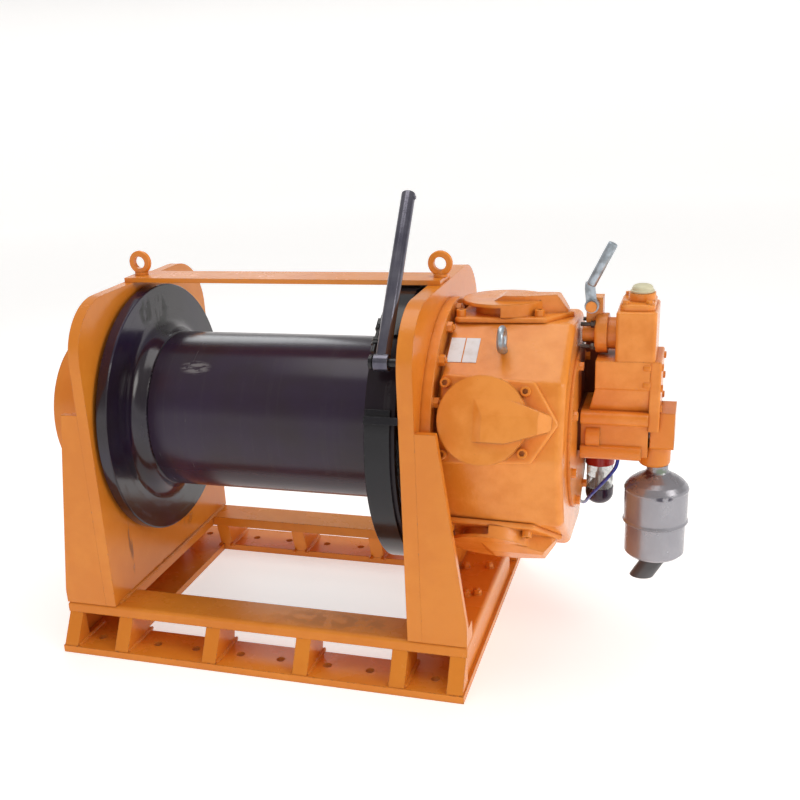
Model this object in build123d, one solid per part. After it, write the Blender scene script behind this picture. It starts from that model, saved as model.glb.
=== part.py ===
from build123d import *
from math import atan2, cos, degrees, hypot, pi, radians, sin, tan
import os

# Air-driven drum winch on a welded skid: every solid, one STEP file for each named piece.
# Millimetres, +Z up.  +X runs along the drum from the gearbox end to the motor end and the
# operator's side is -Y.  The origin is the centre of the skid's underside.

os.makedirs("parts", exist_ok=True)

# Skid ---------------------------------------------------------------------------------
SKID_LENGTH = 1110.0
SKID_WIDTH = 810.0
SOLE_THICK = 20.0
SOLE_FRONT_WIDTH = 125.0
SOLE_SIDE_WIDTH = 166.0
DECK_BOTTOM = 98.0
DECK_TOP = 127.0
DECK_WIDTH = 710.0
DECK_FRONT_WIDTH = 105.0
DECK_EDGE_ROUND = 10.0
RIB_THICK = 40.0
RIB_PLACES = (-532.0, -379.0, -122.0, 131.0, 386.0, 532.0)
SIDE_WEB = 14.0
SIDE_WEB_RECESS = 9.0
SIDE_WEB_Y = (-338.0, 262.0)
CORNER_RIB_DEPTH = 62.0
SOLE_HOLE_DIA = 22.0
SOLE_HOLE_Y = 342.0
SOLE_HOLE_X = (-470.0, -300.0, -186.0, -57.0, 57.0, 186.0, 300.0, 470.0)

# Stands -------------------------------------------------------------------------------
STAND_INNER = 406.0
STAND_HALF_DEPTH = 355.0
STAND_TOP = 943.0
STAND_CORNER = 150.0
LEFT_PLATE = 30.0
RIGHT_PLATE = 37.0
LEG_TOP = 667.0
LEFT_LEG_REACH = 76.0
RIGHT_LEG_REACH = 86.0
LEG_FOOT_RISE = 12.0
LEG_PLATE = 18.0
LEFT_FOOT_TOP = 152.0
RIGHT_FOOT_TOP = 170.0
FOOT_DEPTH = 60.0

# Drum ---------------------------------------------------------------------------------
AXIS_Z = 580.0
BARREL_R = 213.0
BARREL_WALL = 22.0
FLANGE_R = 343.0
FLANGE_INNER_X = -365.0
FLANGE_THICK = 32.0
FLARE = 46.0
FLANGE_CHAMFER = 3.0
RIM_LEFT_X = 318.0
RIM_RIGHT_X = 392.0
RIM_R = 350.0
RIM_WALL = 22.0
RIM_WEB = 24.0
SHAFT_R = 60.0
SHAFT_GAP = 0.5
BEARING_R = 80.0

# Band brake ---------------------------------------------------------------------------
BAND_LEFT_X = 322.0
BAND_RIGHT_X = 382.0
BAND_INNER_R = 351.0
BAND_OUTER_R = 358.0
BAND_GAP_START = 128.0
BAND_GAP_END = 158.0
LUG_HEIGHT = 18.0
LUG_THICK = 18.0
LUG_X = (324.0, 340.0)
LUG_ANGLE = 4.0
ADJUSTER_X = 331.0
ADJUSTER_R = 6.0
ADJUSTER_LENGTH = 80.0
ADJUSTER_NUT_R = 10.0

# Gearbox end --------------------------------------------------------------------------
GEARBOX_R = 206.0
GEARBOX_END_X = -610.0
GEARBOX_CAP_R = 150.0
GEARBOX_CAP_THICK = 14.0

# Air motor ----------------------------------------------------------------------------
ADAPTER_R = 318.0
ADAPTER_END_X = 468.0
NECK_R = 262.0
CASE_START_X = 480.0
CASE_END_X = 766.0
CASE_APOTHEM = 280.0
CASE_SIDES = 10
CASE_CORNER = 25.0
CASE_END_ROUND = 18.0
END_COVER_R = 200.0
END_COVER_END_X = 774.0
CYLINDERS = 5
HEAD_FIRST_ANGLE = 20.0
HEAD_X = 586.0
HEAD_PAD_R = 292.0
HEAD_PAD_HALF = 106.0
HEAD_PAD_NARROW = 94.0
HEAD_PAD_SHOULDER = 112.0
HEAD_PAD_CORNER = 14.0
HEAD_PAD_EDGE = 7.0
HEAD_TIP = 171.0
HEAD_DISC_R = 103.0
HEAD_DISC_UNDER = 315.0
HEAD_DISC_TOP = 323.0
HEAD_BARREL_R = 72.0
HEAD_BODY_FROM = 6.0
PASSAGE_TOP = 335.0
PASSAGE_HALF = 50.0
PASSAGE_BACK = -19.0
PASSAGE_BACK_SLOPE = 21.0
PASSAGE_NOSE_TOP = 129.0
PASSAGE_NOSE_FOOT = 158.0
PASSAGE_NOSE_HALF = 17.0
PASSAGE_CREST = 12.0
MOTOR_EYE_X = 612.0
MOTOR_EYE_R = 25.0
MOTOR_EYE_WIRE = 8.0
LABEL_PANELS = ((482.0, 516.0), (519.0, 552.0))
LABEL_Y = (-38.0, 37.0)
LABEL_THICK = 1.5

# Valve block and exhaust --------------------------------------------------------------
MANIFOLD_X = (782.0, 940.0)
MANIFOLD_Y = (-66.0, 150.0)
MANIFOLD_Z = (532.0, 646.0)
CHEST_Y = (-75.0, 75.0)
CHEST_TOP = 772.0
CHEST_BAND = 702.0
CHEST_X = (800.0, 940.0)
CHEST_SHOULDER_X = 814.0
WEB_Y = (80.0, 130.0)
WEB_TOP = 800.0
VALVE_HEAD_X = (858.0, 950.0)
VALVE_HEAD_TOP = 889.0
LID_X = (864.0, 944.0)
LID_TOP = 904.0
INLET_X = 911.0
INLET_R = 31.0
INLET_BORE_R = 20.0
INLET_TOP = 922.0
SIDE_COVER_X = (940.0, 965.0)
SIDE_COVER_FOOT = 600.0
ELBOW_X = (944.0, 1000.0)
ELBOW_Z = (545.0, 641.0)
ELBOW_SPIGOT_R = 38.0
ELBOW_SPIGOT_X = 955.0
ELBOW_FOOT = 494.0
MUFFLER_X = 963.0
MUFFLER_R = 77.0
MUFFLER_BOTTOM = 254.0
MUFFLER_TOP = 432.0
MUFFLER_SEAM = 346.0
MUFFLER_NECK_R = 26.0
MUFFLER_NECK_FOOT = 474.0
SPOUT_R = 26.0
SPOUT_LEAN = 30.0
SPOUT_SHIFT = 27.0
SPOUT_END = 187.0
SPOUT_WALL = 4.0
SPOUT_DEPTH = 34.0
LUBRICATOR_X = 813.0
LUBRICATOR_Y = 120.0
BOWL_R = 34.0
SUMP_Z = (330.0, 377.0)
COLLAR_Z = (443.0, 466.0)
LUBRICATOR_HEAD_TOP = 516.0
HOSE_R = 4.5

# Levers and lifting gear --------------------------------------------------------------
TIE_BAR_WIDTH = 100.0
TIE_BAR_THICK = 12.0
TIE_BAR_X = (-430.0, 438.0)
EYE_RING_R = 31.0
EYE_HOLE_R = 16.0
EYE_THICK = 15.0
EYE_Z = 988.0
EYE_X = (-404.0, 427.0)
BRAKE_PIVOT = (-318.0, 822.0)
BRAKE_PIN_R = 11.0
BRAKE_PIN_HEAD = 8.0
BRAKE_LEVER_X = 364.0
BRAKE_LEVER_R = 17.0
BRAKE_LEVER_BOSS_R = 20.0
BRAKE_LEVER_LENGTH = 440.0
BRAKE_LEVER_LEAN = 39.4
PIN_GAP = 0.3
THROTTLE_PIVOT = (798.0, 893.0)
THROTTLE_PIN_R = 8.0
THROTTLE_ARM_R = 11.5
THROTTLE_ARM_Y = -29.5
THROTTLE_ARM_FROM = (-3.0, 50.0)
THROTTLE_ARM_TO = (46.0, 148.0)
SPINDLE_Z = 822.0
SPINDLE_NECK_X = 776.0
SPINDLE_NECK_R = 22.0
SPINDLE_FLANGE_X = (806.0, 836.0)
SPINDLE_FLANGE_R = 48.0
SPINDLE_BONNET_R = 38.0


def block(x, y, z):
    """A box from three (low, high) pairs."""
    (x0, x1), (y0, y1), (z0, z1) = x, y, z
    return Pos((x0 + x1) / 2, (y0 + y1) / 2, (z0 + z1) / 2) * Box(x1 - x0, y1 - y0, z1 - z0)


def rod_x(x0, x1, radius, y=0.0, z=AXIS_Z):
    """A round bar along X."""
    return Pos((x0 + x1) / 2, y, z) * Rot(0, 90, 0) * Cylinder(radius, x1 - x0)


def rod_y(y0, y1, radius, x, z):
    """A round bar along Y."""
    return Pos(x, (y0 + y1) / 2, z) * Rot(90, 0, 0) * Cylinder(radius, y1 - y0)


def rod_z(z0, z1, radius, x, y):
    """A round bar along Z."""
    return Pos(x, y, (z0 + z1) / 2) * Cylinder(radius, z1 - z0)


def plate_x(face, x0, x1):
    """A flat outline drawn in (Y, Z), given thickness from x0 to x1."""
    return extrude(Plane.YZ.offset(x0) * face, x1 - x0)


def save(name, shape):
    """Writes one named piece."""
    export_step(shape, f"parts/{name}.step")


def both_sides(shape):
    """The piece and its mirror image across the drum's vertical plane, front and rear."""
    return [shape, mirror(shape, about=Plane.XZ)]


# Skid ---------------------------------------------------------------------------------

def sole_frame():
    """The drilled bottom ring."""
    half_l, half_w = SKID_LENGTH / 2, SKID_WIDTH / 2
    ring = block((-half_l, half_l), (-half_w, half_w), (0, SOLE_THICK))
    ring -= block((-half_l + SOLE_SIDE_WIDTH, half_l - SOLE_SIDE_WIDTH),
                  (-half_w + SOLE_FRONT_WIDTH, half_w - SOLE_FRONT_WIDTH), (-1, SOLE_THICK + 1))
    for x in SOLE_HOLE_X:
        for y in (-SOLE_HOLE_Y, SOLE_HOLE_Y):
            ring -= rod_z(-1, SOLE_THICK + 1, SOLE_HOLE_DIA / 2, x, y)
    return ring


def deck_frame():
    """The top ring that the stands stand on, its outer top edge rounded."""
    half_l, half_w = SKID_LENGTH / 2, DECK_WIDTH / 2
    ring = block((-half_l, half_l), (-half_w, half_w), (DECK_BOTTOM, DECK_TOP))
    edges = ring.faces().sort_by(Axis.Z)[-1].edges()
    ring = fillet(edges, DECK_EDGE_ROUND)
    return ring - block((-STAND_INNER, STAND_INNER),
                        (-half_w + DECK_FRONT_WIDTH, half_w - DECK_FRONT_WIDTH),
                        (DECK_BOTTOM - 1, DECK_TOP + 1))


def rib(x):
    """One spacer under the front of the deck: its front edge slopes back as it rises."""
    toe, top = -SKID_WIDTH / 2 + 2, -DECK_WIDTH / 2
    heel, heel_top = -SKID_WIDTH / 2 + SOLE_FRONT_WIDTH, -DECK_WIDTH / 2 + DECK_FRONT_WIDTH - 10
    if abs(x) > STAND_INNER:
        heel = heel_top = toe + CORNER_RIB_DEPTH
    outline = Polyline((toe, SOLE_THICK), (heel, SOLE_THICK), (heel_top, DECK_BOTTOM),
                       (top, DECK_BOTTOM), close=True)
    return plate_x(make_face(outline), x - RIB_THICK / 2, x + RIB_THICK / 2)


def side_webs():
    """The web under each end of the deck, set back a little and open near the rear corner."""
    outer = SKID_LENGTH / 2 - SIDE_WEB_RECESS
    web = block((outer - SIDE_WEB, outer), SIDE_WEB_Y, (SOLE_THICK, DECK_BOTTOM))
    return [web, mirror(web, about=Plane.YZ)]


# Stands -------------------------------------------------------------------------------

def stand_outline():
    """The stand's shield outline in (Y, Z): straight sides and rounded shoulders."""
    height = STAND_TOP - DECK_TOP
    face = Pos(0, DECK_TOP + height / 2) * Rectangle(2 * STAND_HALF_DEPTH, height)
    shoulders = face.vertices().sort_by(Axis.Y)[-2:]
    return fillet(shoulders, STAND_CORNER)


def stand_plate(side, thick, bore):
    """One end plate, bored for the drum's shaft."""
    inner, outer = side * STAND_INNER, side * (STAND_INNER + thick)
    plate = plate_x(stand_outline(), min(inner, outer), max(inner, outer))
    return plate - rod_x(min(inner, outer) - 1, max(inner, outer) + 1, bore)


def leg_face(side, thick, reach, foot_top):
    """Front leg plate: tapered above, squared off over the skid's corner."""
    outer = STAND_INNER + thick
    wide = SKID_LENGTH / 2
    top = STAND_INNER + reach
    outline = Polyline((outer, DECK_TOP), (wide, DECK_TOP), (wide, foot_top + LEG_FOOT_RISE),
                       (top, LEG_TOP), (outer, LEG_TOP), close=True)
    face = make_face(outline)
    leg = extrude(Plane.XZ.offset(STAND_HALF_DEPTH - LEG_PLATE) * face, LEG_PLATE)
    foot = block((outer, wide), (-STAND_HALF_DEPTH + LEG_PLATE, -STAND_HALF_DEPTH + FOOT_DEPTH),
                 (DECK_TOP, foot_top))
    leg = leg + foot
    return leg if side > 0 else mirror(leg, about=Plane.YZ)


# Drum ---------------------------------------------------------------------------------

def drum_barrel():
    """The rope barrel, a tube between the flange and the brake rim."""
    tube = rod_x(FLANGE_INNER_X, RIM_LEFT_X, BARREL_R)
    return tube - rod_x(FLANGE_INNER_X - 1, RIM_LEFT_X + 1, BARREL_R - BARREL_WALL)


def drum_flange():
    """The rope flange and the flared collar welded to it, which runs down onto the barrel."""
    x0, x1 = FLANGE_INNER_X - FLANGE_THICK, FLANGE_INNER_X
    disc = rod_x(x0, x1, FLANGE_R)
    disc = chamfer(disc.edges().group_by(SortBy.LENGTH)[-1], FLANGE_CHAMFER)
    profile = make_face(Polyline((x1, BARREL_R), (x1 + FLARE, BARREL_R)) + ThreePointArc(
        (x1 + FLARE, BARREL_R),
        (x1 + FLARE * (1 - cos(pi / 4)), BARREL_R + FLARE * (1 - sin(pi / 4))),
        (x1, BARREL_R + FLARE)) + Line((x1, BARREL_R + FLARE), (x1, BARREL_R)))
    flare = revolve(Plane.XY * profile, Axis.X)
    return [disc - rod_x(x0 - 1, x1 + 1, SHAFT_R), Pos(0, 0, AXIS_Z) * flare]


def brake_rim():
    """The drum's other flange, turned as the brake drum."""
    rim = rod_x(RIM_LEFT_X, RIM_RIGHT_X, RIM_R)
    rim -= rod_x(RIM_LEFT_X + RIM_WEB, RIM_RIGHT_X + 1, RIM_R - RIM_WALL)
    return rim - rod_x(RIM_LEFT_X - 1, RIM_RIGHT_X + 1, SHAFT_R)


def brake_band():
    """The lined steel band, open at the top front where its two ends are drawn together."""
    ring = rod_x(BAND_LEFT_X, BAND_RIGHT_X, BAND_OUTER_R)
    ring -= rod_x(BAND_LEFT_X - 1, BAND_RIGHT_X + 1, BAND_INNER_R)
    a, b = radians(BAND_GAP_START), radians(BAND_GAP_END)
    reach = 2 * BAND_OUTER_R
    wedge = make_face(Polyline((0, AXIS_Z), (reach * cos(a), AXIS_Z + reach * sin(a)),
                               (reach * cos(b), AXIS_Z + reach * sin(b)), close=True))
    return ring - plate_x(wedge, BAND_LEFT_X - 1, BAND_RIGHT_X + 1)


# Motor --------------------------------------------------------------------------------

def motor_case():
    """The ten-faced crankcase, the edges of its far end rounded over."""
    radius = CASE_APOTHEM / cos(pi / CASE_SIDES)
    points = []
    for i in range(CASE_SIDES):
        angle = radians(HEAD_FIRST_ANGLE - 180 / CASE_SIDES) + 2 * pi * i / CASE_SIDES
        points.append((-radius * cos(angle), AXIS_Z + radius * sin(angle)))
    face = make_face(Polyline(*points, close=True))
    case = plate_x(fillet(face.vertices(), CASE_CORNER), CASE_START_X, CASE_END_X)
    return fillet(case.faces().sort_by(Axis.X)[-1].edges(), CASE_END_ROUND)


def head_angles():
    """The cylinders' directions, in degrees up from the front horizontal."""
    return [HEAD_FIRST_ANGLE + 360.0 / CYLINDERS * i for i in range(CYLINDERS)]


def place_on_case(shape, angle):
    """Turns a shape built looking up, at the origin's height, to a direction round the case."""
    return Pos(0, 0, AXIS_Z) * Rot(90 - angle, 0, 0) * shape


def head_pad():
    """The thin land that the head is bolted to, drawn out to a point on its far side."""
    h, n, x = HEAD_PAD_HALF, HEAD_PAD_NARROW, HEAD_PAD_SHOULDER
    outline = make_face(Polyline((-h, -h), (x, -n), (HEAD_TIP, 0), (x, n), (-h, h), close=True))
    pad = extrude(Plane.XY.offset(CASE_APOTHEM) * fillet(outline.vertices(), HEAD_PAD_CORNER),
                  HEAD_PAD_R - CASE_APOTHEM)
    return fillet(pad.faces().sort_by(Axis.Z)[-1].edges(), HEAD_PAD_EDGE)


def air_passage():
    """The raised air passage across the head, sloped at both ends and falling away on its upper side."""
    half, back, foot, tip = PASSAGE_HALF, PASSAGE_BACK, PASSAGE_NOSE_FOOT, PASSAGE_NOSE_HALF
    plan = make_face(Polyline((back, -half), (56, -half), (90, -40), (foot - 3, -tip), (foot - 3, tip),
                              (90, 40), (56, half), (back, half), close=True))
    plan = fillet(plan.vertices().filter_by(lambda v: v.X > 0), 11)
    side = make_face(Polyline((back, HEAD_DISC_TOP), (back + PASSAGE_BACK_SLOPE, PASSAGE_TOP),
                              (PASSAGE_NOSE_TOP, PASSAGE_TOP), (foot, HEAD_PAD_R),
                              (HEAD_BODY_FROM, HEAD_PAD_R), (HEAD_BODY_FROM, HEAD_DISC_TOP - 3),
                              (back, HEAD_DISC_TOP - 3), close=True))
    cross = make_face(Polyline((-half, HEAD_PAD_R), (-half, PASSAGE_TOP), (PASSAGE_CREST, PASSAGE_TOP),
                               (half, HEAD_DISC_TOP), (half, HEAD_PAD_R), close=True))
    tall = extrude(Plane.XY.offset(HEAD_PAD_R) * plan, PASSAGE_TOP - HEAD_PAD_R)
    tall &= extrude(Plane.XZ.offset(-half - 5) * side, 2 * half + 10)
    return tall & plate_x(cross, back, foot)


def cylinder_head():
    """One head, looking up: land, barrel, overhanging disc, half-round body and air passage."""
    body = rod_z(HEAD_PAD_R, HEAD_DISC_UNDER, HEAD_DISC_R, 0, 0)
    body &= block((HEAD_BODY_FROM, 200), (-150, 150), (HEAD_PAD_R, HEAD_DISC_UNDER))
    barrel = rod_z(HEAD_PAD_R, HEAD_DISC_UNDER, HEAD_BARREL_R, 0, 0)
    disc = rod_z(HEAD_DISC_UNDER, HEAD_DISC_TOP, HEAD_DISC_R, 0, 0)
    return Pos(HEAD_X, 0, 0) * (head_pad() + body + barrel + disc + air_passage())


def motor_neck():
    """The turned neck between the case and the stand's adapter ring."""
    return rod_x(ADAPTER_END_X, CASE_START_X, NECK_R)


def motor_eye():
    """The small lifting eye on the case's upper front face, looking up, its ring across X."""
    shank = rod_z(CASE_APOTHEM, CASE_APOTHEM + 14, 9, 0, 0)
    ring = Torus(MOTOR_EYE_R, MOTOR_EYE_WIRE)
    ring = Pos(0, 0, CASE_APOTHEM + 8 + MOTOR_EYE_R + MOTOR_EYE_WIRE) * Rot(0, 90, 0) * ring
    return Pos(MOTOR_EYE_X, 0, 0) * (shank + ring)


def data_plate():
    """The blank two-panel plate on the case's upper front face, looking up."""
    thick = (CASE_APOTHEM, CASE_APOTHEM + LABEL_THICK)
    return [block(panel, LABEL_Y, thick) for panel in LABEL_PANELS]


# Valve block and exhaust --------------------------------------------------------------

def valve_manifold():
    """The lower casting, with the ribbed air passages that run back to the motor."""
    body = block(MANIFOLD_X, MANIFOLD_Y, MANIFOLD_Z)
    ribs = [rod_x(MANIFOLD_X[0], MANIFOLD_X[1], 17, MANIFOLD_Y[0], 629),
            rod_x(MANIFOLD_X[0], MANIFOLD_X[1] - 14, 19, MANIFOLD_Y[0] + 4, 542)]
    boss = rod_x(MANIFOLD_X[0] + 12, MANIFOLD_X[0] + 46, 30, MANIFOLD_Y[0] + 16, 579)
    for bar in ribs + [boss]:
        body += bar
    return body


def valve_neck():
    """The foot that joins the manifold to the motor, with the web that rises behind the spindle."""
    foot = block((END_COVER_END_X, MANIFOLD_X[0]), (-60, 120), (540, MANIFOLD_Z[1]))
    web = block((END_COVER_END_X, SPINDLE_FLANGE_X[0] + 6), WEB_Y, (MANIFOLD_Z[1], WEB_TOP))
    return foot + web


def valve_chest():
    """The middle casting: a band that stands proud above a face that slopes in to the manifold."""
    x0, x1 = CHEST_X
    y0, y1 = CHEST_Y
    foot = MANIFOLD_Z[1]
    front = make_face(Polyline((x0, foot), (x1, foot), (x1, CHEST_TOP), (CHEST_SHOULDER_X, CHEST_TOP),
                               (CHEST_SHOULDER_X, CHEST_BAND), close=True))
    depth = make_face(Polyline((y0, CHEST_TOP), (y0, CHEST_BAND + 4), (y0 + 5, CHEST_BAND), (y0 + 18, foot),
                               (y1, foot), (y1, CHEST_TOP), close=True))
    return extrude(Plane.XZ.offset(-y1) * front, y1 - y0) & plate_x(depth, x0, x1)


def valve_head():
    """The upper casting, its upright edges and its top edges rounded."""
    head = block(VALVE_HEAD_X, CHEST_Y, (CHEST_TOP, VALVE_HEAD_TOP))
    head = fillet(head.edges().filter_by(Axis.Z), 9)
    return fillet(head.faces().sort_by(Axis.Z)[-1].edges(), 5)


def valve_lid():
    """The low lid with rounded corners that carries the air inlet."""
    lid = block(LID_X, (-62, 62), (VALVE_HEAD_TOP, LID_TOP))
    lid = fillet(lid.edges().filter_by(Axis.Z), 20)
    return fillet(lid.faces().sort_by(Axis.Z)[-1].edges(), 4)


def spindle_housing():
    """The spindle's neck, its round-edged flange and the narrower bonnet up to the valve."""
    x0, x1 = SPINDLE_FLANGE_X
    neck = rod_x(SPINDLE_NECK_X, x0 + 1, SPINDLE_NECK_R, 0, SPINDLE_Z)
    flange = rod_x(x0, x1, SPINDLE_FLANGE_R, 0, SPINDLE_Z)
    flange = fillet(flange.edges().sort_by(Axis.X)[0], 8)
    return neck + flange + rod_x(x1, VALVE_HEAD_X[0], SPINDLE_BONNET_R, 0, SPINDLE_Z)


def air_inlet():
    """The threaded boss that the supply hose screws into."""
    boss = rod_z(LID_TOP, INLET_TOP, INLET_R, INLET_X, 0)
    return boss - rod_z(LID_TOP - 1, INLET_TOP + 1, INLET_BORE_R, INLET_X, 0)


def side_cover():
    """The cover bolted on the far side of the valve block."""
    cover = block(SIDE_COVER_X, (-72, 72), (SIDE_COVER_FOOT, CHEST_TOP))
    return fillet(cover.faces().sort_by(Axis.X)[-1].edges(), 5)


def exhaust_elbow():
    """The outlet elbow: a box that turns down to the silencer."""
    x0, x1 = ELBOW_X
    z0, z1 = ELBOW_Z
    step = SIDE_COVER_X[1]
    outline = Polyline((x0, z0), (x1, z0), (x1, z1), (step, z1), (step, SIDE_COVER_FOOT),
                       (x0, SIDE_COVER_FOOT), close=True)
    box = extrude(Plane.XZ.offset(-50) * make_face(outline), 100)
    box = fillet(box.edges().filter_by(Axis.X).group_by(Axis.Z)[0], 16)
    spigot = rod_z(ELBOW_FOOT, z0 + 4, ELBOW_SPIGOT_R, ELBOW_SPIGOT_X, 0)
    spigot = fillet(spigot.edges().sort_by(Axis.Z)[0], 10)
    spigot -= block((x0 - 60, MANIFOLD_X[1]), MANIFOLD_Y, (MANIFOLD_Z[0] - 9, MANIFOLD_Z[1]))
    return box + spigot


def muffler_can():
    """The silencer's shell: a neck, a domed top and two rolled seams."""
    r, low, top, seam = MUFFLER_R, MUFFLER_BOTTOM, MUFFLER_TOP, MUFFLER_SEAM
    neck = MUFFLER_NECK_R
    profile = Polyline((0, low), (r - 12, low), (r - 4, low + 8), (r - 4, seam - 5), (r + 3, seam),
                       (r, seam + 7), (r, top - 4), (r + 1.5, top), (r - 1, top + 6), (r - 10, top + 17),
                       (r - 22, top + 26), (r - 38, top + 35), (neck + 3, MUFFLER_NECK_FOOT),
                       (neck, MUFFLER_NECK_FOOT + 5), (neck, ELBOW_FOOT), (0, ELBOW_FOOT), close=True)
    can = revolve(Plane.XZ * make_face(profile), Axis.Z)
    return Pos(MUFFLER_X, 0, 0) * can


def muffler_tail():
    """The short oblique spout under the silencer."""
    axis = Pos(MUFFLER_X - SPOUT_SHIFT, 0, SPOUT_END) * Rot(0, SPOUT_LEAN, 0)
    span_x = (MUFFLER_X - MUFFLER_R, MUFFLER_X + MUFFLER_R)
    span_y = (-MUFFLER_R, MUFFLER_R)
    reach = 4 * (MUFFLER_BOTTOM - SPOUT_END)
    tube = axis * Cylinder(SPOUT_R, reach) & block(span_x, span_y, (SPOUT_END, MUFFLER_BOTTOM))
    mouth = block(span_x, span_y, (SPOUT_END - 1, SPOUT_END + SPOUT_DEPTH))
    return tube - (axis * Cylinder(SPOUT_R - SPOUT_WALL, reach) & mouth)


def lubricator():
    """The air-line lubricator: head, red collar, clear bowl and dark sump."""
    x, y = LUBRICATOR_X, LUBRICATOR_Y
    top = LUBRICATOR_HEAD_TOP
    head = block((x - 29, x + 29), (y - 26, y + 26), (COLLAR_Z[1], top))
    head += rod_z(top, MANIFOLD_Z[0], 16, x, y)
    collar = rod_z(*COLLAR_Z, BOWL_R + 3, x, y)
    bowl = rod_z(SUMP_Z[1], COLLAR_Z[0], BOWL_R, x, y)
    sump = rod_z(*SUMP_Z, BOWL_R + 2, x, y)
    sump = fillet(sump.faces().sort_by(Axis.Z)[0].edges(), 30)
    return head, collar, bowl, sump


# Air hose -----------------------------------------------------------------------------

HOSE_ROUTE = [
    (868, -8, 510), (868, -8, 488), (850, 0, 456), (822, 18, 416), (792, 58, 368),
    (775, 124, 322), (752, 196, 296), (726, 262, 298), (714, 306, 336), (712, 322, 386),
    (702, 312, 430),
]


def hose_path(points):
    """Straight runs joined by tangent arcs, each arc as large as its two runs allow."""
    radii = []
    for before, at, after in zip(points, points[1:], points[2:]):
        first, second = Vector(*at) - Vector(*before), Vector(*after) - Vector(*at)
        turn = radians(first.get_angle(second))
        radii.append(0.45 * min(first.length, second.length) / tan(turn / 2))
    print("hose radii", [round(r) for r in radii])
    return FilletPolyline(*points, radius=radii)


def air_hose():
    """The thin control hose from under the valve block to the back of the motor."""
    path = hose_path(HOSE_ROUTE)
    tube = sweep((path ^ 0) * Circle(HOSE_R), path=path)
    print("hose length", round(path.length), "volume ratio",
          round(tube.volume / (pi * HOSE_R ** 2 * path.length), 4))
    return tube, path


def hose_fitting(at, into, length):
    """A round fitting that the hose's end butts against."""
    place = Plane(origin=at, z_dir=into)
    return extrude(place * Circle(HOSE_R + 4.5), length)


# Levers and lifting gear --------------------------------------------------------------

def lifting_eye(x):
    """A forged eye bolted through the tie bar, its ring across the winch."""
    foot = STAND_TOP + TIE_BAR_THICK
    ring = rod_y(-EYE_THICK / 2, EYE_THICK / 2, EYE_RING_R, x, EYE_Z)
    ring = fillet(ring.edges().group_by(SortBy.LENGTH)[-1], 5)
    neck = rod_z(foot, EYE_Z - EYE_HOLE_R - 2, 9, x, 0)
    collar = rod_z(foot, foot + 7, 18, x, 0)
    return ring + neck + collar - rod_y(-20, 20, EYE_HOLE_R, x, EYE_Z)


def brake_lever():
    """The hand lever: a plugged tube that leans back above its pivot boss."""
    y, z = BRAKE_PIVOT
    x0, x1 = BRAKE_LEVER_X - BRAKE_LEVER_R, BRAKE_LEVER_X + BRAKE_LEVER_R
    tube = Pos(0, 0, BRAKE_LEVER_LENGTH / 2) * Cylinder(BRAKE_LEVER_R, BRAKE_LEVER_LENGTH)
    tube = fillet(tube.edges().filter_by(GeomType.CIRCLE).sort_by(Axis.Z)[-1], 4)
    tube = Pos(BRAKE_LEVER_X, y, z) * Rot(-BRAKE_LEVER_LEAN, 0, 0) * tube
    boss = rod_x(x0, x1, BRAKE_LEVER_BOSS_R, y, z)
    return tube + boss - rod_x(x0 - 1, x1 + 1, BRAKE_PIN_R + PIN_GAP, y, z)


def brake_pin():
    """A headed pin standing in from the right stand."""
    x0 = BRAKE_LEVER_X - BRAKE_LEVER_R - 4
    pin = rod_x(x0, STAND_INNER, BRAKE_PIN_R, *BRAKE_PIVOT)
    return pin + rod_x(x0 - BRAKE_PIN_HEAD, x0, BRAKE_PIN_R + 6, *BRAKE_PIVOT)


def band_lug(angle, x1):
    """An end lug of the band, standing out from it at an angle from +Y."""
    lug = block((LUG_X[0], x1), (BAND_OUTER_R - 2, BAND_OUTER_R + LUG_HEIGHT),
                (-LUG_THICK / 2, LUG_THICK / 2))
    lug = Pos(0, 0, AXIS_Z) * Rot(angle, 0, 0) * lug
    return lug - rod_x(BAND_LEFT_X, x1 + 1, BAND_OUTER_R)


def band_adjuster(angle):
    """The threaded adjuster that stands from the band's live lug towards the lever."""
    reach = BAND_OUTER_R + LUG_HEIGHT / 2
    foot = LUG_THICK / 2
    rod = Pos(ADJUSTER_X, reach, foot + ADJUSTER_LENGTH / 2) * Cylinder(ADJUSTER_R, ADJUSTER_LENGTH)
    nut = extrude(RegularPolygon(ADJUSTER_NUT_R, 6, rotation=30), ADJUSTER_R * 2)
    return Pos(0, 0, AXIS_Z) * Rot(angle, 0, 0) * (rod + Pos(ADJUSTER_X, reach, foot) * nut)


def throttle_lever():
    """The throttle lever: a flat foot on its spindle boss and a round arm that leans over."""
    x, z = THROTTLE_PIVOT
    (from_x, from_z), (to_x, to_z) = THROTTLE_ARM_FROM, THROTTLE_ARM_TO
    bar = make_face(Polyline((x - 13, z), (x + 13, z), (x + 7, z + 38), (x + 4, z + from_z + 12),
                             (x - 16, z + from_z + 6), (x - 17, z + 42), close=True))
    bar = extrude(Plane.XZ.offset(20) * bar, 9)
    boss = rod_y(-32, -14, 17, x, z)
    lean = degrees(atan2(to_x - from_x, to_z - from_z))
    length = hypot(to_x - from_x, to_z - from_z)
    arm = Pos(0, 0, length / 2) * Cylinder(THROTTLE_ARM_R, length)
    arm = fillet(arm.edges().filter_by(GeomType.CIRCLE), 4)
    arm = Pos(x + from_x, THROTTLE_ARM_Y, z + from_z) * Rot(0, lean, 0) * arm
    return bar + boss + arm - rod_y(-42, 0, THROTTLE_PIN_R + PIN_GAP, x, z)


def throttle_bracket():
    """The spindle and the bracket that carries it on the valve block's near side."""
    x, z = THROTTLE_PIVOT
    base = block((x - 14, x + 24), (-10, 34), (SPINDLE_Z, z + 16)) - spindle_housing()
    spindle = rod_y(-37, -10, THROTTLE_PIN_R, x, z)
    head = rod_y(-42, -37, THROTTLE_PIN_R + 5, x, z)
    return base + spindle + head


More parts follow.
